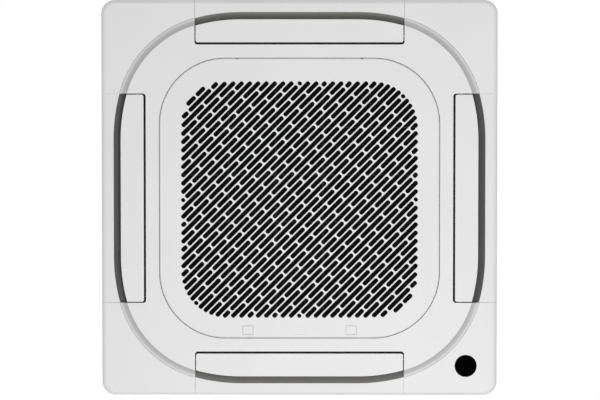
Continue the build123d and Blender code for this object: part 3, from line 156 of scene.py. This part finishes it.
def sheet_metal(name, colour, rough, spangle=60, spread=0.06, metallic=0.9):
    """Galvanised sheet: crystals of slightly different tone and gloss, and fine scratches."""
    start, end, rough_spread = 0.1, 0.9, 0.07
    scratch_scale, scratch_stretch = 400, (1, 12, 1)
    scratch_strength, scratch_depth = 0.08, 0.05 * MM
    mat, tree, shader = material(name)
    crystals = cells(tree, spangle, "F1", "Color")
    low, high = darker(colour, spread), lighter(colour, spread)
    vary(tree, shader, "Base Color", crystals, low, high, start, end)
    low, high = rough - rough_spread, rough + rough_spread
    vary(tree, shader, "Roughness", crystals, low, high, start, end)
    scratches = noise(tree, scratch_scale, stretch=scratch_stretch)
    bump(tree, shader, scratches, scratch_strength, scratch_depth)
    shader.inputs["Metallic"].default_value = metallic
    return mat


def drawn_metal(name, colour, rough, metallic=1.0):
    """Drawn or turned metal: long fine lines and a cloudy tone."""
    cloud_scale, cloud_detail, spread = 30, 4, 0.1
    line_scale, line_stretch = 900, (1, 1, 0.05)
    rough_spread, line_strength, line_depth = 0.08, 0.1, 0.03 * MM
    mat, tree, shader = material(name)
    cloud = noise(tree, cloud_scale, cloud_detail)
    vary(tree, shader, "Base Color", cloud, darker(colour, spread), colour)
    lines = noise(tree, line_scale, stretch=line_stretch)
    vary(tree, shader, "Roughness", lines, rough - rough_spread, rough + rough_spread)
    bump(tree, shader, lines, line_strength, line_depth)
    shader.inputs["Metallic"].default_value = metallic
    return mat


def bead_foam(name, colour, beads=260):
    """Expanded foam: pressed beads a few millimetres across, darker where they meet."""
    seam_dark, seam_share = 0.14, 0.12
    bead_strength, bead_depth, rough = 0.5, 0.4 * MM, 0.85
    mat, tree, shader = material(name)
    to_edge = cells(tree, beads, "DISTANCE_TO_EDGE", "Distance")
    vary(tree, shader, "Base Color", to_edge, darker(colour, seam_dark), colour, 0.0, seam_share)
    bump(tree, shader, to_edge, bead_strength, bead_depth)
    shader.inputs["Roughness"].default_value = rough
    return mat


def fin_stack(name):
    """Closely spaced aluminium fins, upright on every side of the coil, the gaps between them
    painted dark as shade.
    """
    half_pitch = 0.9 * MM
    # The dark stripes are painted shade of the gaps between the fins.
    fin_gap_shade, light = (0.10, 0.10, 0.11), (0.78, 0.79, 0.80)
    fin_strength, fin_depth, metallic, rough = 0.8, 0.8 * MM, 0.8, 0.38
    mat, tree, shader = material(name)
    place = split_place(tree)
    along = arithmetic(tree, "ADD", place["X"], place["Y"])
    wave = arithmetic(tree, "PINGPONG", along, half_pitch)
    fins = arithmetic(tree, "MULTIPLY", wave, 1 / half_pitch)
    vary(tree, shader, "Base Color", fins, fin_gap_shade, light, 0.1, 0.6)
    bump(tree, shader, fins, fin_strength, fin_depth)
    shader.inputs["Metallic"].default_value = metallic
    shader.inputs["Roughness"].default_value = rough
    return mat


def woven_net(name):
    """Filter net: threads both ways with open holes between them, the holes painted near black as
    shade.
    """
    half_pitch = 1.6 * MM
    thread, hole_shade = (0.008, 0.008, 0.0085), (0.0005, 0.0008, 0.001)
    thread_strength, thread_depth, rough, specular = 0.4, 0.4 * MM, 0.7, 0.05
    mat, tree, shader = material(name)
    place = split_place(tree)
    across = arithmetic(tree, "PINGPONG", place["X"], half_pitch)
    along = arithmetic(tree, "PINGPONG", place["Y"], half_pitch)
    nearest = arithmetic(tree, "MINIMUM", across, along)
    weave = arithmetic(tree, "MULTIPLY", nearest, 1 / half_pitch)
    vary(tree, shader, "Base Color", weave, thread, hole_shade, 0.15, 0.35)
    bump(tree, shader, weave, thread_strength, thread_depth)
    shader.inputs["Roughness"].default_value = rough
    shader.inputs["Specular IOR Level"].default_value = specular
    return mat


def painted_step_shade(mat):
    """Paints shade into the colour of the sloped step round the platform, greying it most beside
    the platform and fading outwards.
    """
    full_height, inner_radius = 10 * MM, 425.0 * MM
    # Share of the plain colour kept at each height of the step: painted shade.
    step_shade_tones = ((0.0, 1.0), (0.03, 1.0), (0.05, 0.58), (0.45, 0.66), (0.8, 0.97), (0.99, 1.0))
    mix_factor, mix_a, mix_b, mix_colour = 0, 6, 7, 2  # the sockets that a colour mix uses
    tree = mat.node_tree
    shader = tree.nodes["Principled BSDF"]
    plain = shader.inputs["Base Color"].links[0].from_socket
    height = tree.nodes.new("ShaderNodeMapRange")
    height.inputs["From Max"].default_value = full_height
    tree.links.new(split_place(tree)["Z"], height.inputs["Value"])
    ramp = tree.nodes.new("ShaderNodeValToRGB")
    elements = ramp.color_ramp.elements
    for place, tone in step_shade_tones:
        elements.new(place).color = rgba(tone)
    elements.remove(elements[0])  # the two that a new ramp starts with
    elements.remove(elements[-1])
    tree.links.new(height.outputs["Result"], ramp.inputs["Fac"])
    radius = tree.nodes.new("ShaderNodeVectorMath")
    radius.operation = "LENGTH"
    tree.links.new(object_place(tree), radius.inputs[0])
    step_shade_mask = arithmetic(tree, "GREATER_THAN", radius.outputs["Value"], inner_radius)
    mix = tree.nodes.new("ShaderNodeMix")
    mix.data_type = "RGBA"
    mix.blend_type = "MULTIPLY"
    tree.links.new(step_shade_mask, mix.inputs[mix_factor])
    tree.links.new(plain, mix.inputs[mix_a])
    tree.links.new(ramp.outputs["Color"], mix.inputs[mix_b])
    tree.links.new(mix.outputs[mix_colour], shader.inputs["Base Color"])
    return mat


# ------------------------------------------------------------ the part's materials
WHITE = (0.80, 0.805, 0.80)
WHITE_ROUGH = 0.42
FINE_BEADS = 500
panel_white = moulded("panel_white", WHITE, WHITE_ROUGH)
motor_steel = drawn_metal("motor_steel", (0.42, 0.43, 0.44), 0.35)
# One duct lining in two painted copies, a darker shaded one and a lighter lit one; their grey is
# partly the foam's own and partly painted shade deep in the ducts.
lining_painted_shaded = bead_foam("lining_painted_shaded", (0.13, 0.13, 0.132), FINE_BEADS)
lining_painted_lit = bead_foam("lining_painted_lit", (0.25, 0.246, 0.236), FINE_BEADS)

slot_material = {
    "panel_white": panel_white,
    "window_black": moulded(
        "window_black", (0.001, 0.001, 0.0012), 0.3, 0.1, 1200, 0.02, specular=0.0
    ),
    "board_green": moulded("board_green", (0.015, 0.11, 0.045), 0.45, 0.2, 700, 0.3),
    "part_white": moulded("part_white", (0.68, 0.68, 0.66), 0.5),
    "filter_grey": moulded("filter_grey", (0.006, 0.006, 0.0065), 0.6, 0.1, specular=0.2),
    "foam_grey": bead_foam("foam_grey", (0.03, 0.03, 0.032), FINE_BEADS),
    "insulation_white": bead_foam("insulation_white", (0.72, 0.72, 0.70)),
    "fan_plastic": moulded("fan_plastic", (0.035, 0.038, 0.042), 0.5, 0.06),
    "galvanised": sheet_metal("galvanised", (0.56, 0.58, 0.60), 0.42),
    "motor_steel": motor_steel,
    "rubber_black": moulded("rubber_black", (0.012, 0.012, 0.012), 0.75, 0.1, 500, 0.3),
    "fin_aluminium": fin_stack("fin_aluminium"),
    "copper": drawn_metal("copper", (0.72, 0.33, 0.18), 0.3),
    "brass": drawn_metal("brass", (0.72, 0.52, 0.2), 0.28),
    "pump_grey": moulded("pump_grey", (0.12, 0.125, 0.13), 0.5),
}
for subpart in frame["record"]["subparts"]:
    materials = nodes[subpart["node"]].data.materials
    materials.clear()
    materials.append(slot_material[subpart["material_slot"]])
# The frame's white carries painted shade on the sloped step round the platform.
frame_white_painted_step_shade = painted_step_shade(moulded("frame_white_painted_step_shade", WHITE, WHITE_ROUGH))
nodes["panel_frame"].data.materials[0] = frame_white_painted_step_shade
nodes["filter_net"].data.materials[0] = woven_net("filter_net")


# ------------------------------------------------------------ helpers for new pieces
def new_piece(name, mesh, mat, body, replaces=()):
    obj = bpy.data.objects.new(name, mesh)
    bpy.context.scene.collection.objects.link(obj)
    mesh.materials.clear()
    mesh.materials.append(mat)
    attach(obj, body)
    if replaces:
        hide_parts(*replaces)
    return obj


def grille_piece(name, mesh, replaces=()):
    return new_piece(name, mesh, panel_white, "grille", replaces)


def arc_points(cx, cy, r, start, sweep, steps):
    angles = [math.radians(start + sweep * i / steps) for i in range(steps + 1)]
    return [(cx + r * math.cos(a), cy + r * math.sin(a)) for a in angles]


def rounded_box(cx, cy, width, depth, r, steps=4):
    points = []
    for quarter, (sx, sy) in enumerate(CORNERS):
        x = cx + sx * (width / 2 - r)
        y = cy + sy * (depth / 2 - r)
        points += arc_points(x, y, r, 90 * quarter, 90, steps)
    return points


def plate(name, outlines, low, high, edge):
    """Flat plate between two heights, with its edges rounded by a radius, all in mm.

    The first outline is the plate's own and the rest are holes."""
    curve = bpy.data.curves.new(name, "CURVE")
    curve.dimensions = "2D"
    curve.fill_mode = "BOTH"
    curve.extrude = ((high - low) / 2 - edge) * MM
    curve.bevel_depth = edge * MM
    curve.bevel_resolution = 2
    curve.offset = -edge * MM
    for points in outlines:
        spline = curve.splines.new("POLY")
        spline.points.add(len(points) - 1)
        for point, (x, y) in zip(spline.points, points):
            point.co = (x * MM, y * MM, 0, 1)
        spline.use_cyclic_u = True
    holder = bpy.data.objects.new(name + "_curve", curve)
    bpy.context.scene.collection.objects.link(holder)
    depsgraph = bpy.context.evaluated_depsgraph_get()
    mesh = bpy.data.meshes.new_from_object(holder.evaluated_get(depsgraph))
    bpy.data.objects.remove(holder)
    mesh.transform(Matrix.Translation((0, 0, (low + high) / 2 * MM)))
    for poly in mesh.polygons:
        poly.use_smooth = False
    return mesh


def quads(name, loops, closed=True, capped=False):
    """Surface through loops of points with the same count, in mm."""
    count = len(loops[0])
    verts = [tuple(v * MM for v in point) for loop in loops for point in loop]
    faces = []
    for level in range(len(loops) - 1):
        for i in range(count if closed else count - 1):
            a = level * count + i
            b = level * count + (i + 1) % count
            faces.append((a, b, b + count, a + count))
    if capped:
        firsts = [level * count for level in range(len(loops))]
        faces.append(tuple(firsts))
        faces.append(tuple(first + count - 1 for first in reversed(firsts)))
    mesh = bpy.data.meshes.new(name)
    mesh.from_pydata(verts, [], faces)
    mesh.validate()
    return mesh


def turned(point, quarter):
    """A point of the +Y side, moved to the side that many quarter turns on."""
    x, y, z = point
    for _ in range(quarter):
        x, y = -y, x
    return (x, y, z)


# ------------------------------------------------------------ foam lining of the four air ducts, its grey partly painted shade
MARGIN_HALF, PLATFORM_HALF = 446.2, 428.3  # half widths of the outer margin and the platform
SIDE_STRAIGHT, SIDE_ARC_R = 139.7, 412.0  # each side is a straight between two gentle arcs
OUTLET_HALF, OUTLET_INNER = 251.0, 368.2
MARGIN_Z, DUCT_WALL, DUCT_TOP = 9.0, 3.0, 50.0
DUCT_TOP_INNER, DUCT_TOP_OUTER = 346.0, 396.0
LINING_THICK, LINING_GAP, LINING_STEPS = 0.4, 0.3, 40


def ring_y(half, x):
    """Distance of the soft square's side from the middle, at a place along the side."""
    radius = SIDE_ARC_R + half - PLATFORM_HALF
    past = max(0.0, abs(x) - SIDE_STRAIGHT)
    return half - radius + math.sqrt(radius**2 - past**2)


def duct_loop(inner_y, inner_z, outer_half, outer_z):
    end = OUTLET_HALF - LINING_GAP
    xs = [end - 2 * end * i / LINING_STEPS for i in range(LINING_STEPS + 1)]
    outer = [(x, ring_y(outer_half - LINING_GAP, x), outer_z) for x in xs]
    inner = [(-x, inner_y + LINING_GAP, inner_z) for x in xs]
    return outer + inner


low_loop = duct_loop(OUTLET_INNER, DUCT_WALL, MARGIN_HALF, MARGIN_Z + LINING_GAP)
high_loop = duct_loop(DUCT_TOP_INNER, DUCT_TOP, DUCT_TOP_OUTER, DUCT_TOP)
for quarter, side in enumerate(SIDES):
    name = "duct_lining_" + side
    loops = [[turned(point, quarter) for point in loop] for loop in (low_loop, high_loop)]
    # Painted light: the ±Y ducts take the lighter lit copy of the lining and the ±X ducts the
    # darker shaded copy.
    foam = lining_painted_lit if side in ("yp", "yn") else lining_painted_shaded
    lining = new_piece(name, quads(name, loops), foam, "unit")
    thickness = lining.modifiers.new("thickness", "SOLIDIFY")
    thickness.thickness = LINING_THICK * MM
    thickness.offset = 0.0


# ------------------------------------------------------------ rounded inner corners of the outlets
OUTLET_CORNER_R, OUTLET_CORNER_STEPS = 7.0, 10
OUTLET_CORNER_LAP, OUTLET_CORNER_EDGE = 0.3, 0.15
for quarter, side in enumerate(SIDES):
    for sign in (-1, 1):
        x = sign * (OUTLET_HALF - OUTLET_CORNER_R)
        y = OUTLET_INNER + OUTLET_CORNER_R
        start = 270 if sign > 0 else 180
        arc = arc_points(x, y, OUTLET_CORNER_R, start, 90, OUTLET_CORNER_STEPS)
        point = (sign * (OUTLET_HALF + OUTLET_CORNER_LAP), OUTLET_INNER - OUTLET_CORNER_LAP)
        outline = [turned((x, y, 0), quarter)[:2] for x, y in [point] + arc[::-1]]
        mesh = plate("outlet_corner", [outline], 0, DUCT_WALL, OUTLET_CORNER_EDGE)
        name = "outlet_corner_%s_%d" % (side, sign + 1)
        new_piece(name, mesh, panel_white, "unit")


# ------------------------------------------------------------ intake grille: its slots
FIELD_HALF, FIELD_R, FIELD_SHIFT = 282.0, 105.0, -3.4
ROW_PITCH, SLOT_PITCH = 14.04, 76.4
SLOT_LENGTH, SLOT_WIDTH, SLOT_R = 72.4, 10.9, 4.5
SHORTEST_SLOT = 8.5
SLOT_DIRECTION = math.radians(135)
DIAGONAL = math.sqrt(2)


def slot_outline(cx, cy, length):
    radius = min(SLOT_R, length / 2 - 0.1)
    c, s = math.cos(SLOT_DIRECTION), math.sin(SLOT_DIRECTION)
    box = rounded_box(0, 0, length, SLOT_WIDTH, radius)
    return [(cx + c * x - s * y, cy + s * x + c * y) for x, y in box]


def row_reach(offset):
    """Half length of a 45 degree row inside the rounded field, that far from its middle."""
    off = abs(offset)
    to_corner = (FIELD_HALF - FIELD_R) * DIAGONAL
    if off <= FIELD_R / DIAGONAL:
        return to_corner + math.sqrt(FIELD_R**2 - off**2)
    if off <= (2 * FIELD_HALF - FIELD_R) / DIAGONAL:
        return FIELD_HALF * DIAGONAL - off
    return math.sqrt(max(0, FIELD_R**2 - (off - to_corner) ** 2))


def row_spans(row):
    """Slots along a row; a rest too short for a slot of its own lengthens its neighbour."""
    reach = row_reach(row * ROW_PITCH)
    shift = SLOT_PITCH / 2 if row % 2 else 0
    count = int(reach / SLOT_PITCH) + 2
    middles = [step * SLOT_PITCH + shift for step in range(-count, count + 1)]
    half = SLOT_LENGTH / 2
    spans = [[max(middle - half, -reach), min(middle + half, reach)] for middle in middles]
    spans = [span for span in spans if span[1] > span[0]]
    if len(spans) > 1 and spans[0][1] - spans[0][0] < SHORTEST_SLOT:
        spans.pop(0)
        spans[0][0] = -reach
    if len(spans) > 1 and spans[-1][1] - spans[-1][0] < SHORTEST_SLOT:
        spans.pop()
        spans[-1][1] = reach
    return spans


def grille_slots():
    rows = int((DIAGONAL * (FIELD_HALF - FIELD_R) + FIELD_R) / ROW_PITCH)
    outlines = []
    for row in range(-rows, rows + 1):
        for low, high in row_spans(row):
            along, across = (low + high) / 2, row * ROW_PITCH
            x = (across - along) / DIAGONAL
            y = (across + along) / DIAGONAL + FIELD_SHIFT
            outlines.append(slot_outline(x, y, high - low))
    return outlines


# ------------------------------------------------------------ intake grille: its moulding
GRILLE_HALF, GRILLE_R, GRILLE_TOP = 334.2, 156.2, 3.0
GRILLE_CORNER = GRILLE_HALF - GRILLE_R  # the corner arcs' centres
GRILLE_STEPS = 16
CHAMFER, CHAMFER_LOW = 1.4, 0.03
FLANGE, FLANGE_LOW = 1.0, 1.6
SKIN, SKIN_EDGE, SKIN_OVERHANG = 0.5, 0.24, 0.5
PLATE_EDGE, PLATE_LAP = 0.2, 0.02
RIM_HALF, RIM_THICK, RIM_TOP, RIM_LAP = 330.2, 2.0, 10.0, 0.1
HINGE_X, HINGE_Y, HINGE_Z = 150.0, 305.0, 2.0
LUG_R, PIN_R, LUG_IN, LUG_OUT, POCKET_Y = 4.6, 1.5, 2.5, 5.5, 301.3
LUG_STEPS, PIN_STEPS = 24, 16
RIM_HINGE_GAP, RIM_LATCH_GAP = 8.0, 16.5
LATCH_X, LATCH_Y, LATCH_WIDTH, LATCH_LENGTH = 124.0, -317.0, 25.0, 21.0
LATCH_SEAM, LATCH_R = 1.5, 2.0
LABEL_Y, LABEL_WIDTH, LABEL_LENGTH, LABEL_R = LATCH_Y - 1, 33.0, 18.5, 1.0
LABEL_LOW, LABEL_HIGH, LABEL_LAP = 0.9, 2.6, 2
CHEEK_OFF, CHEEK_Y, CHEEK_WIDTH, CHEEK_TOP, CHEEK_R = 17.5, LATCH_Y + 4, 2.0, 7.0, 0.4
NAME_SHIFT = 500  # keeps the place in a piece's name above zero


def side_path(half, start, corners, end):
    """Run along the grille's outline: a start point, some of its corners, an end point."""
    points = [start] if start else []
    for quarter in corners:
        sx, sy = CORNERS[quarter]
        x, y = sx * GRILLE_CORNER, sy * GRILLE_CORNER
        points += arc_points(x, y, half - GRILLE_CORNER, 90 * quarter, 90, GRILLE_STEPS)
    return points + [end]


def swept(name, profile, start_x, start_side, corners, end_x, end_side):
    """Moulding of one section, half widths and heights, along part of the outline."""
    loops = []
    for half, z in profile + profile[:1]:
        path = side_path(half, (start_x, start_side * half), corners, (end_x, end_side * half))
        loops.append([(x, y, z) for x, y in path])
    grille_piece(name, quads(name, loops, closed=False, capped=True))


def hinge_notches(half):
    """Pockets of the two hinge arms and their pins, cut in from the +Y edge."""
    near, far = HINGE_Y + PIN_R, HINGE_Y - PIN_R
    right_side = [(LUG_IN, half), (LUG_IN, near), (LUG_OUT, near)]
    right_side += [(LUG_OUT, far), (LUG_IN, far), (LUG_IN, POCKET_Y)]
    left_side = [(-x, y) for x, y in reversed(right_side)]
    return [(hinge + x, y) for hinge in (HINGE_X, -HINGE_X) for x, y in right_side + left_side]


latch_room = (LATCH_WIDTH + LATCH_SEAM, LATCH_LENGTH + LATCH_SEAM)
holes = grille_slots()
holes += [rounded_box(x, LATCH_Y, *latch_room, LATCH_R) for x in (-LATCH_X, LATCH_X)]
holes += [rounded_box(0, LABEL_Y, LABEL_WIDTH, LABEL_LENGTH, LABEL_R)]

skin_half = GRILLE_HALF - CHAMFER + SKIN_OVERHANG
skin_side = 2 * skin_half
skin_r = skin_half - GRILLE_CORNER
skin_outline = rounded_box(0, 0, skin_side, skin_side, skin_r, GRILLE_STEPS)
skin_mesh = plate("grille_face", [skin_outline] + holes, 0, SKIN, SKIN_EDGE)
grille_piece("grille_face", skin_mesh, ["grille"])

body_outline = side_path(skin_half, None, (0,), (HINGE_X + LUG_OUT + 1, skin_half))
body_outline += hinge_notches(skin_half)
body_outline += side_path(skin_half, None, (1, 2, 3), (skin_half, 0))
body_low = SKIN - PLATE_LAP
body_mesh = plate("grille_body", [body_outline] + holes, body_low, GRILLE_TOP, PLATE_EDGE)
grille_piece("grille_body", body_mesh)

label_size = (LABEL_WIDTH + LABEL_LAP, LABEL_LENGTH + LABEL_LAP)
label_outline = rounded_box(0, LABEL_Y, *label_size, LABEL_R + LABEL_LAP / 2)
label_mesh = plate("label_floor", [label_outline], LABEL_LOW, LABEL_HIGH, PLATE_EDGE)
grille_piece("label_floor", label_mesh)

inner_half, outer_half = GRILLE_HALF - CHAMFER, GRILLE_HALF + FLANGE
edge_profile = [(inner_half, CHAMFER_LOW), (GRILLE_HALF, CHAMFER), (GRILLE_HALF, FLANGE_LOW)]
edge_profile += [(outer_half, FLANGE_LOW), (outer_half, GRILLE_TOP), (inner_half, GRILLE_TOP)]
swept("edge_long", edge_profile, -HINGE_X - LUG_IN, 1, (1, 2, 3, 0), HINGE_X + LUG_IN, 1)
swept("edge_short", edge_profile, HINGE_X - LUG_IN, 1, (), LUG_IN - HINGE_X, 1)

rim_low, rim_inner = GRILLE_TOP - RIM_LAP, RIM_HALF - RIM_THICK
rim_profile = [(RIM_HALF, rim_low), (RIM_HALF, RIM_TOP), (rim_inner, RIM_TOP), (rim_inner, rim_low)]
to_hinge, past_hinge = HINGE_X - RIM_HINGE_GAP, HINGE_X + RIM_HINGE_GAP
to_latch, past_latch = LATCH_X - RIM_LATCH_GAP, LATCH_X + RIM_LATCH_GAP
swept("rim_back", rim_profile, to_hinge, 1, (), -to_hinge, 1)
swept("rim_left", rim_profile, -past_hinge, 1, (1, 2), -past_latch, -1)
swept("rim_front", rim_profile, -to_latch, -1, (), to_latch, -1)
swept("rim_right", rim_profile, past_latch, -1, (3, 0), past_hinge, 1)

# The lugs stop at the middle of the plate's thickness, where the pin's bore opens downwards.
drop = HINGE_Z - GRILLE_TOP / 2
flat = math.degrees(math.asin(drop / LUG_R))
under = math.degrees(math.asin(drop / PIN_R))
lug_outline = arc_points(HINGE_Y, HINGE_Z, LUG_R, -flat, 180 + 2 * flat, LUG_STEPS)
lug_outline += arc_points(HINGE_Y, HINGE_Z, PIN_R, 180 + under, -180 - 2 * under, PIN_STEPS)
stand_up = Matrix(((0, 0, 1, 0), (1, 0, 0, 0), (0, 1, 0, 0), (0, 0, 0, 1)))  # x, y, z to y, z, x
for x in (-HINGE_X, HINGE_X):
    for low in (x + LUG_IN, x - LUG_OUT):
        lug_mesh = plate("hinge_lug", [lug_outline], low, low + LUG_OUT - LUG_IN, PLATE_EDGE)
        lug_mesh.transform(stand_up)
        grille_piece("hinge_lug_%d" % (low + NAME_SHIFT), lug_mesh)

for latch in (-LATCH_X, LATCH_X):
    for x in (latch - CHEEK_OFF, latch + CHEEK_OFF):
        outline = rounded_box(x, CHEEK_Y, CHEEK_WIDTH, LATCH_LENGTH, CHEEK_R)
        cheek_mesh = plate("latch_cheek", [outline], rim_low, CHEEK_TOP, PLATE_EDGE)
        grille_piece("latch_cheek_%d" % (x + NAME_SHIFT), cheek_mesh)


# ------------------------------------------------------------ sheet-metal screws of the casing
CASING_HALF = 420.0
LOW_SCREW_Z, HIGH_SCREW_Z = 72, 283
OUTER_SCREW_X, INNER_SCREW_X = 235, 80
SCREW_STEPS = 24
HEX_R, HEX_LOW, HEX_TOP, CROWN_TOP, CROWN_IN = 3.8, 1.0, 3.0, 3.6, 0.9
WASHER_R, WASHER_SUNK, WASHER_TOP, WASHER_IN = 5.2, -0.2, 0.6, 0.7
SIXTH = math.pi / 3


def screw_loop(radius, height, hexagon):
    points = []
    for i in range(SCREW_STEPS):
        angle = 2 * math.pi * i / SCREW_STEPS
        bend = (angle + SIXTH / 2) % SIXTH - SIXTH / 2
        r = radius * math.cos(SIXTH / 2) / math.cos(bend) if hexagon else radius
        points.append((r * math.cos(angle), r * math.sin(angle), height))
    return points


screw_profile = [
    (WASHER_R, WASHER_SUNK, False),
    (WASHER_R, WASHER_TOP, False),
    (WASHER_R - WASHER_IN, HEX_LOW, False),
    (HEX_R, HEX_LOW, True),
    (HEX_R, HEX_TOP, True),
    (HEX_R - CROWN_IN, CROWN_TOP, False),
    (0.01, CROWN_TOP - 0.1, False),
]
screw_points = [screw_loop(*level) for level in screw_profile]
low_xs = (-OUTER_SCREW_X, -INNER_SCREW_X, INNER_SCREW_X, OUTER_SCREW_X)
screw_places = [(x, LOW_SCREW_Z) for x in low_xs]
screw_places += [(x, HIGH_SCREW_Z) for x in (-OUTER_SCREW_X, OUTER_SCREW_X)]
for quarter, side in enumerate(SIDES[:3]):  # the +X side carries the pipes and the spout
    for place, (x, z) in enumerate(screw_places):
        loops = []
        for loop in screw_points:
            outward = [(x + px, CASING_HALF + pz, z + py) for px, py, pz in loop]
            loops.append([turned(point, quarter) for point in outward])
        name = "casing_screw_%s_%d" % (side, place)
        new_piece(name, quads(name, loops), motor_steel, "unit")


# ------------------------------------------------------------ camera
PIXEL = 2.3966 * MM  # at the panel's face
IMAGE_WIDTH, SENSOR_WIDTH = 600, 36.0
CAMERA_DISTANCE = 6.0
TILT = math.radians(2.5)
AIM_X, AIM_Y = -0.5, -1.6  # pixels from the part's middle
camera_data = bpy.data.cameras.new("camera")
camera_data.sensor_width = SENSOR_WIDTH
camera_data.lens = SENSOR_WIDTH * CAMERA_DISTANCE / (IMAGE_WIDTH * PIXEL)
camera_data.clip_end = 100
camera = bpy.data.objects.new("camera", camera_data)
bpy.context.scene.collection.objects.link(camera)
bpy.context.scene.camera = camera
aim = Vector((AIM_X * PIXEL, AIM_Y * PIXEL, 0))
offset = Vector((0, math.sin(TILT), -math.cos(TILT))) * CAMERA_DISTANCE
camera.location = aim + offset
look = -offset.normalized()
right = look.cross(Vector((0, 1, 0))).normalized()
up = right.cross(look)
camera.rotation_euler = Matrix((right, up, -look)).transposed().to_euler()


# ------------------------------------------------------------ light
def area_light(name, location, target, size, power):
    data = bpy.data.lights.new(name, "AREA")
    data.shape = "SQUARE"
    data.size = size
    data.energy = power
    lamp = bpy.data.objects.new(name, data)
    bpy.context.scene.collection.objects.link(lamp)
    lamp.location = location
    lamp.visible_camera = False
    direction = Vector(target) - Vector(location)
    lamp.rotation_euler = direction.to_track_quat("-Z", "Y").to_euler()


def seen_by_camera(tree, lit, shown, out):
    """Shows the camera one shader, and everything else the other."""
    ray = tree.nodes.new("ShaderNodeLightPath")
    mix = tree.nodes.new("ShaderNodeMixShader")
    tree.links.new(ray.outputs["Is Camera Ray"], mix.inputs["Fac"])
    tree.links.new(lit, mix.inputs[1])
    tree.links.new(shown, mix.inputs[2])
    tree.links.new(mix.outputs["Shader"], out.inputs["Surface"])


def even_light(tree, kind, colour, strength):
    node = tree.nodes.new(kind)
    node.inputs["Color"].default_value = rgba(colour)
    node.inputs["Strength"].default_value = strength
    return node.outputs[0]


area_light("key", (-0.4, 0.4, -4.9), (0, 0, 0), 1.8, 55)
area_light("near", (-0.3, -1.2, -1.9), (-0.1, -0.6, 0), 0.9, 12)
area_light("above", (0.8, -1.6, 3.2), (0, 0, 0.2), 2.0, 60)

AMBIENT, BACKGROUND = 0.56, 1.0
world = bpy.data.worlds.new("world")
bpy.context.scene.world = world
world.use_nodes = True
world_tree = world.node_tree
world_tree.nodes.clear()
world_out = world_tree.nodes.new("ShaderNodeOutputWorld")
soft = even_light(world_tree, "ShaderNodeBackground", 1.0, AMBIENT)
shown = even_light(world_tree, "ShaderNodeBackground", 1.0, BACKGROUND)
seen_by_camera(world_tree, soft, shown, world_out)


# ------------------------------------------------------------ floor
FLOOR_Z, FLOOR_HALF = -16.0, 80.0
FLOOR_TONE, FLOOR_SHOWN, FLOOR_ROUGH = 0.9, 0.98, 0.9
floor_mat, floor_tree, floor_shader = material("pale_floor")
floor_shader.inputs["Base Color"].default_value = rgba(FLOOR_TONE)
floor_shader.inputs["Roughness"].default_value = FLOOR_ROUGH
floor_shown = even_light(floor_tree, "ShaderNodeEmission", FLOOR_SHOWN, 1.0)
floor_out = floor_tree.nodes["Material Output"]
seen_by_camera(floor_tree, floor_shader.outputs["BSDF"], floor_shown, floor_out)
floor_mesh = bpy.data.meshes.new("floor")
floor_points = [(sx * FLOOR_HALF, sy * FLOOR_HALF, FLOOR_Z) for sx, sy in CORNERS[2:] + CORNERS[:2]]
floor_mesh.from_pydata(floor_points, [], [(0, 1, 2, 3)])
floor_mesh.materials.append(floor_mat)
floor = bpy.data.objects.new("floor", floor_mesh)
bpy.context.scene.collection.objects.link(floor)

bpy.context.scene.view_settings.view_transform = "Standard"
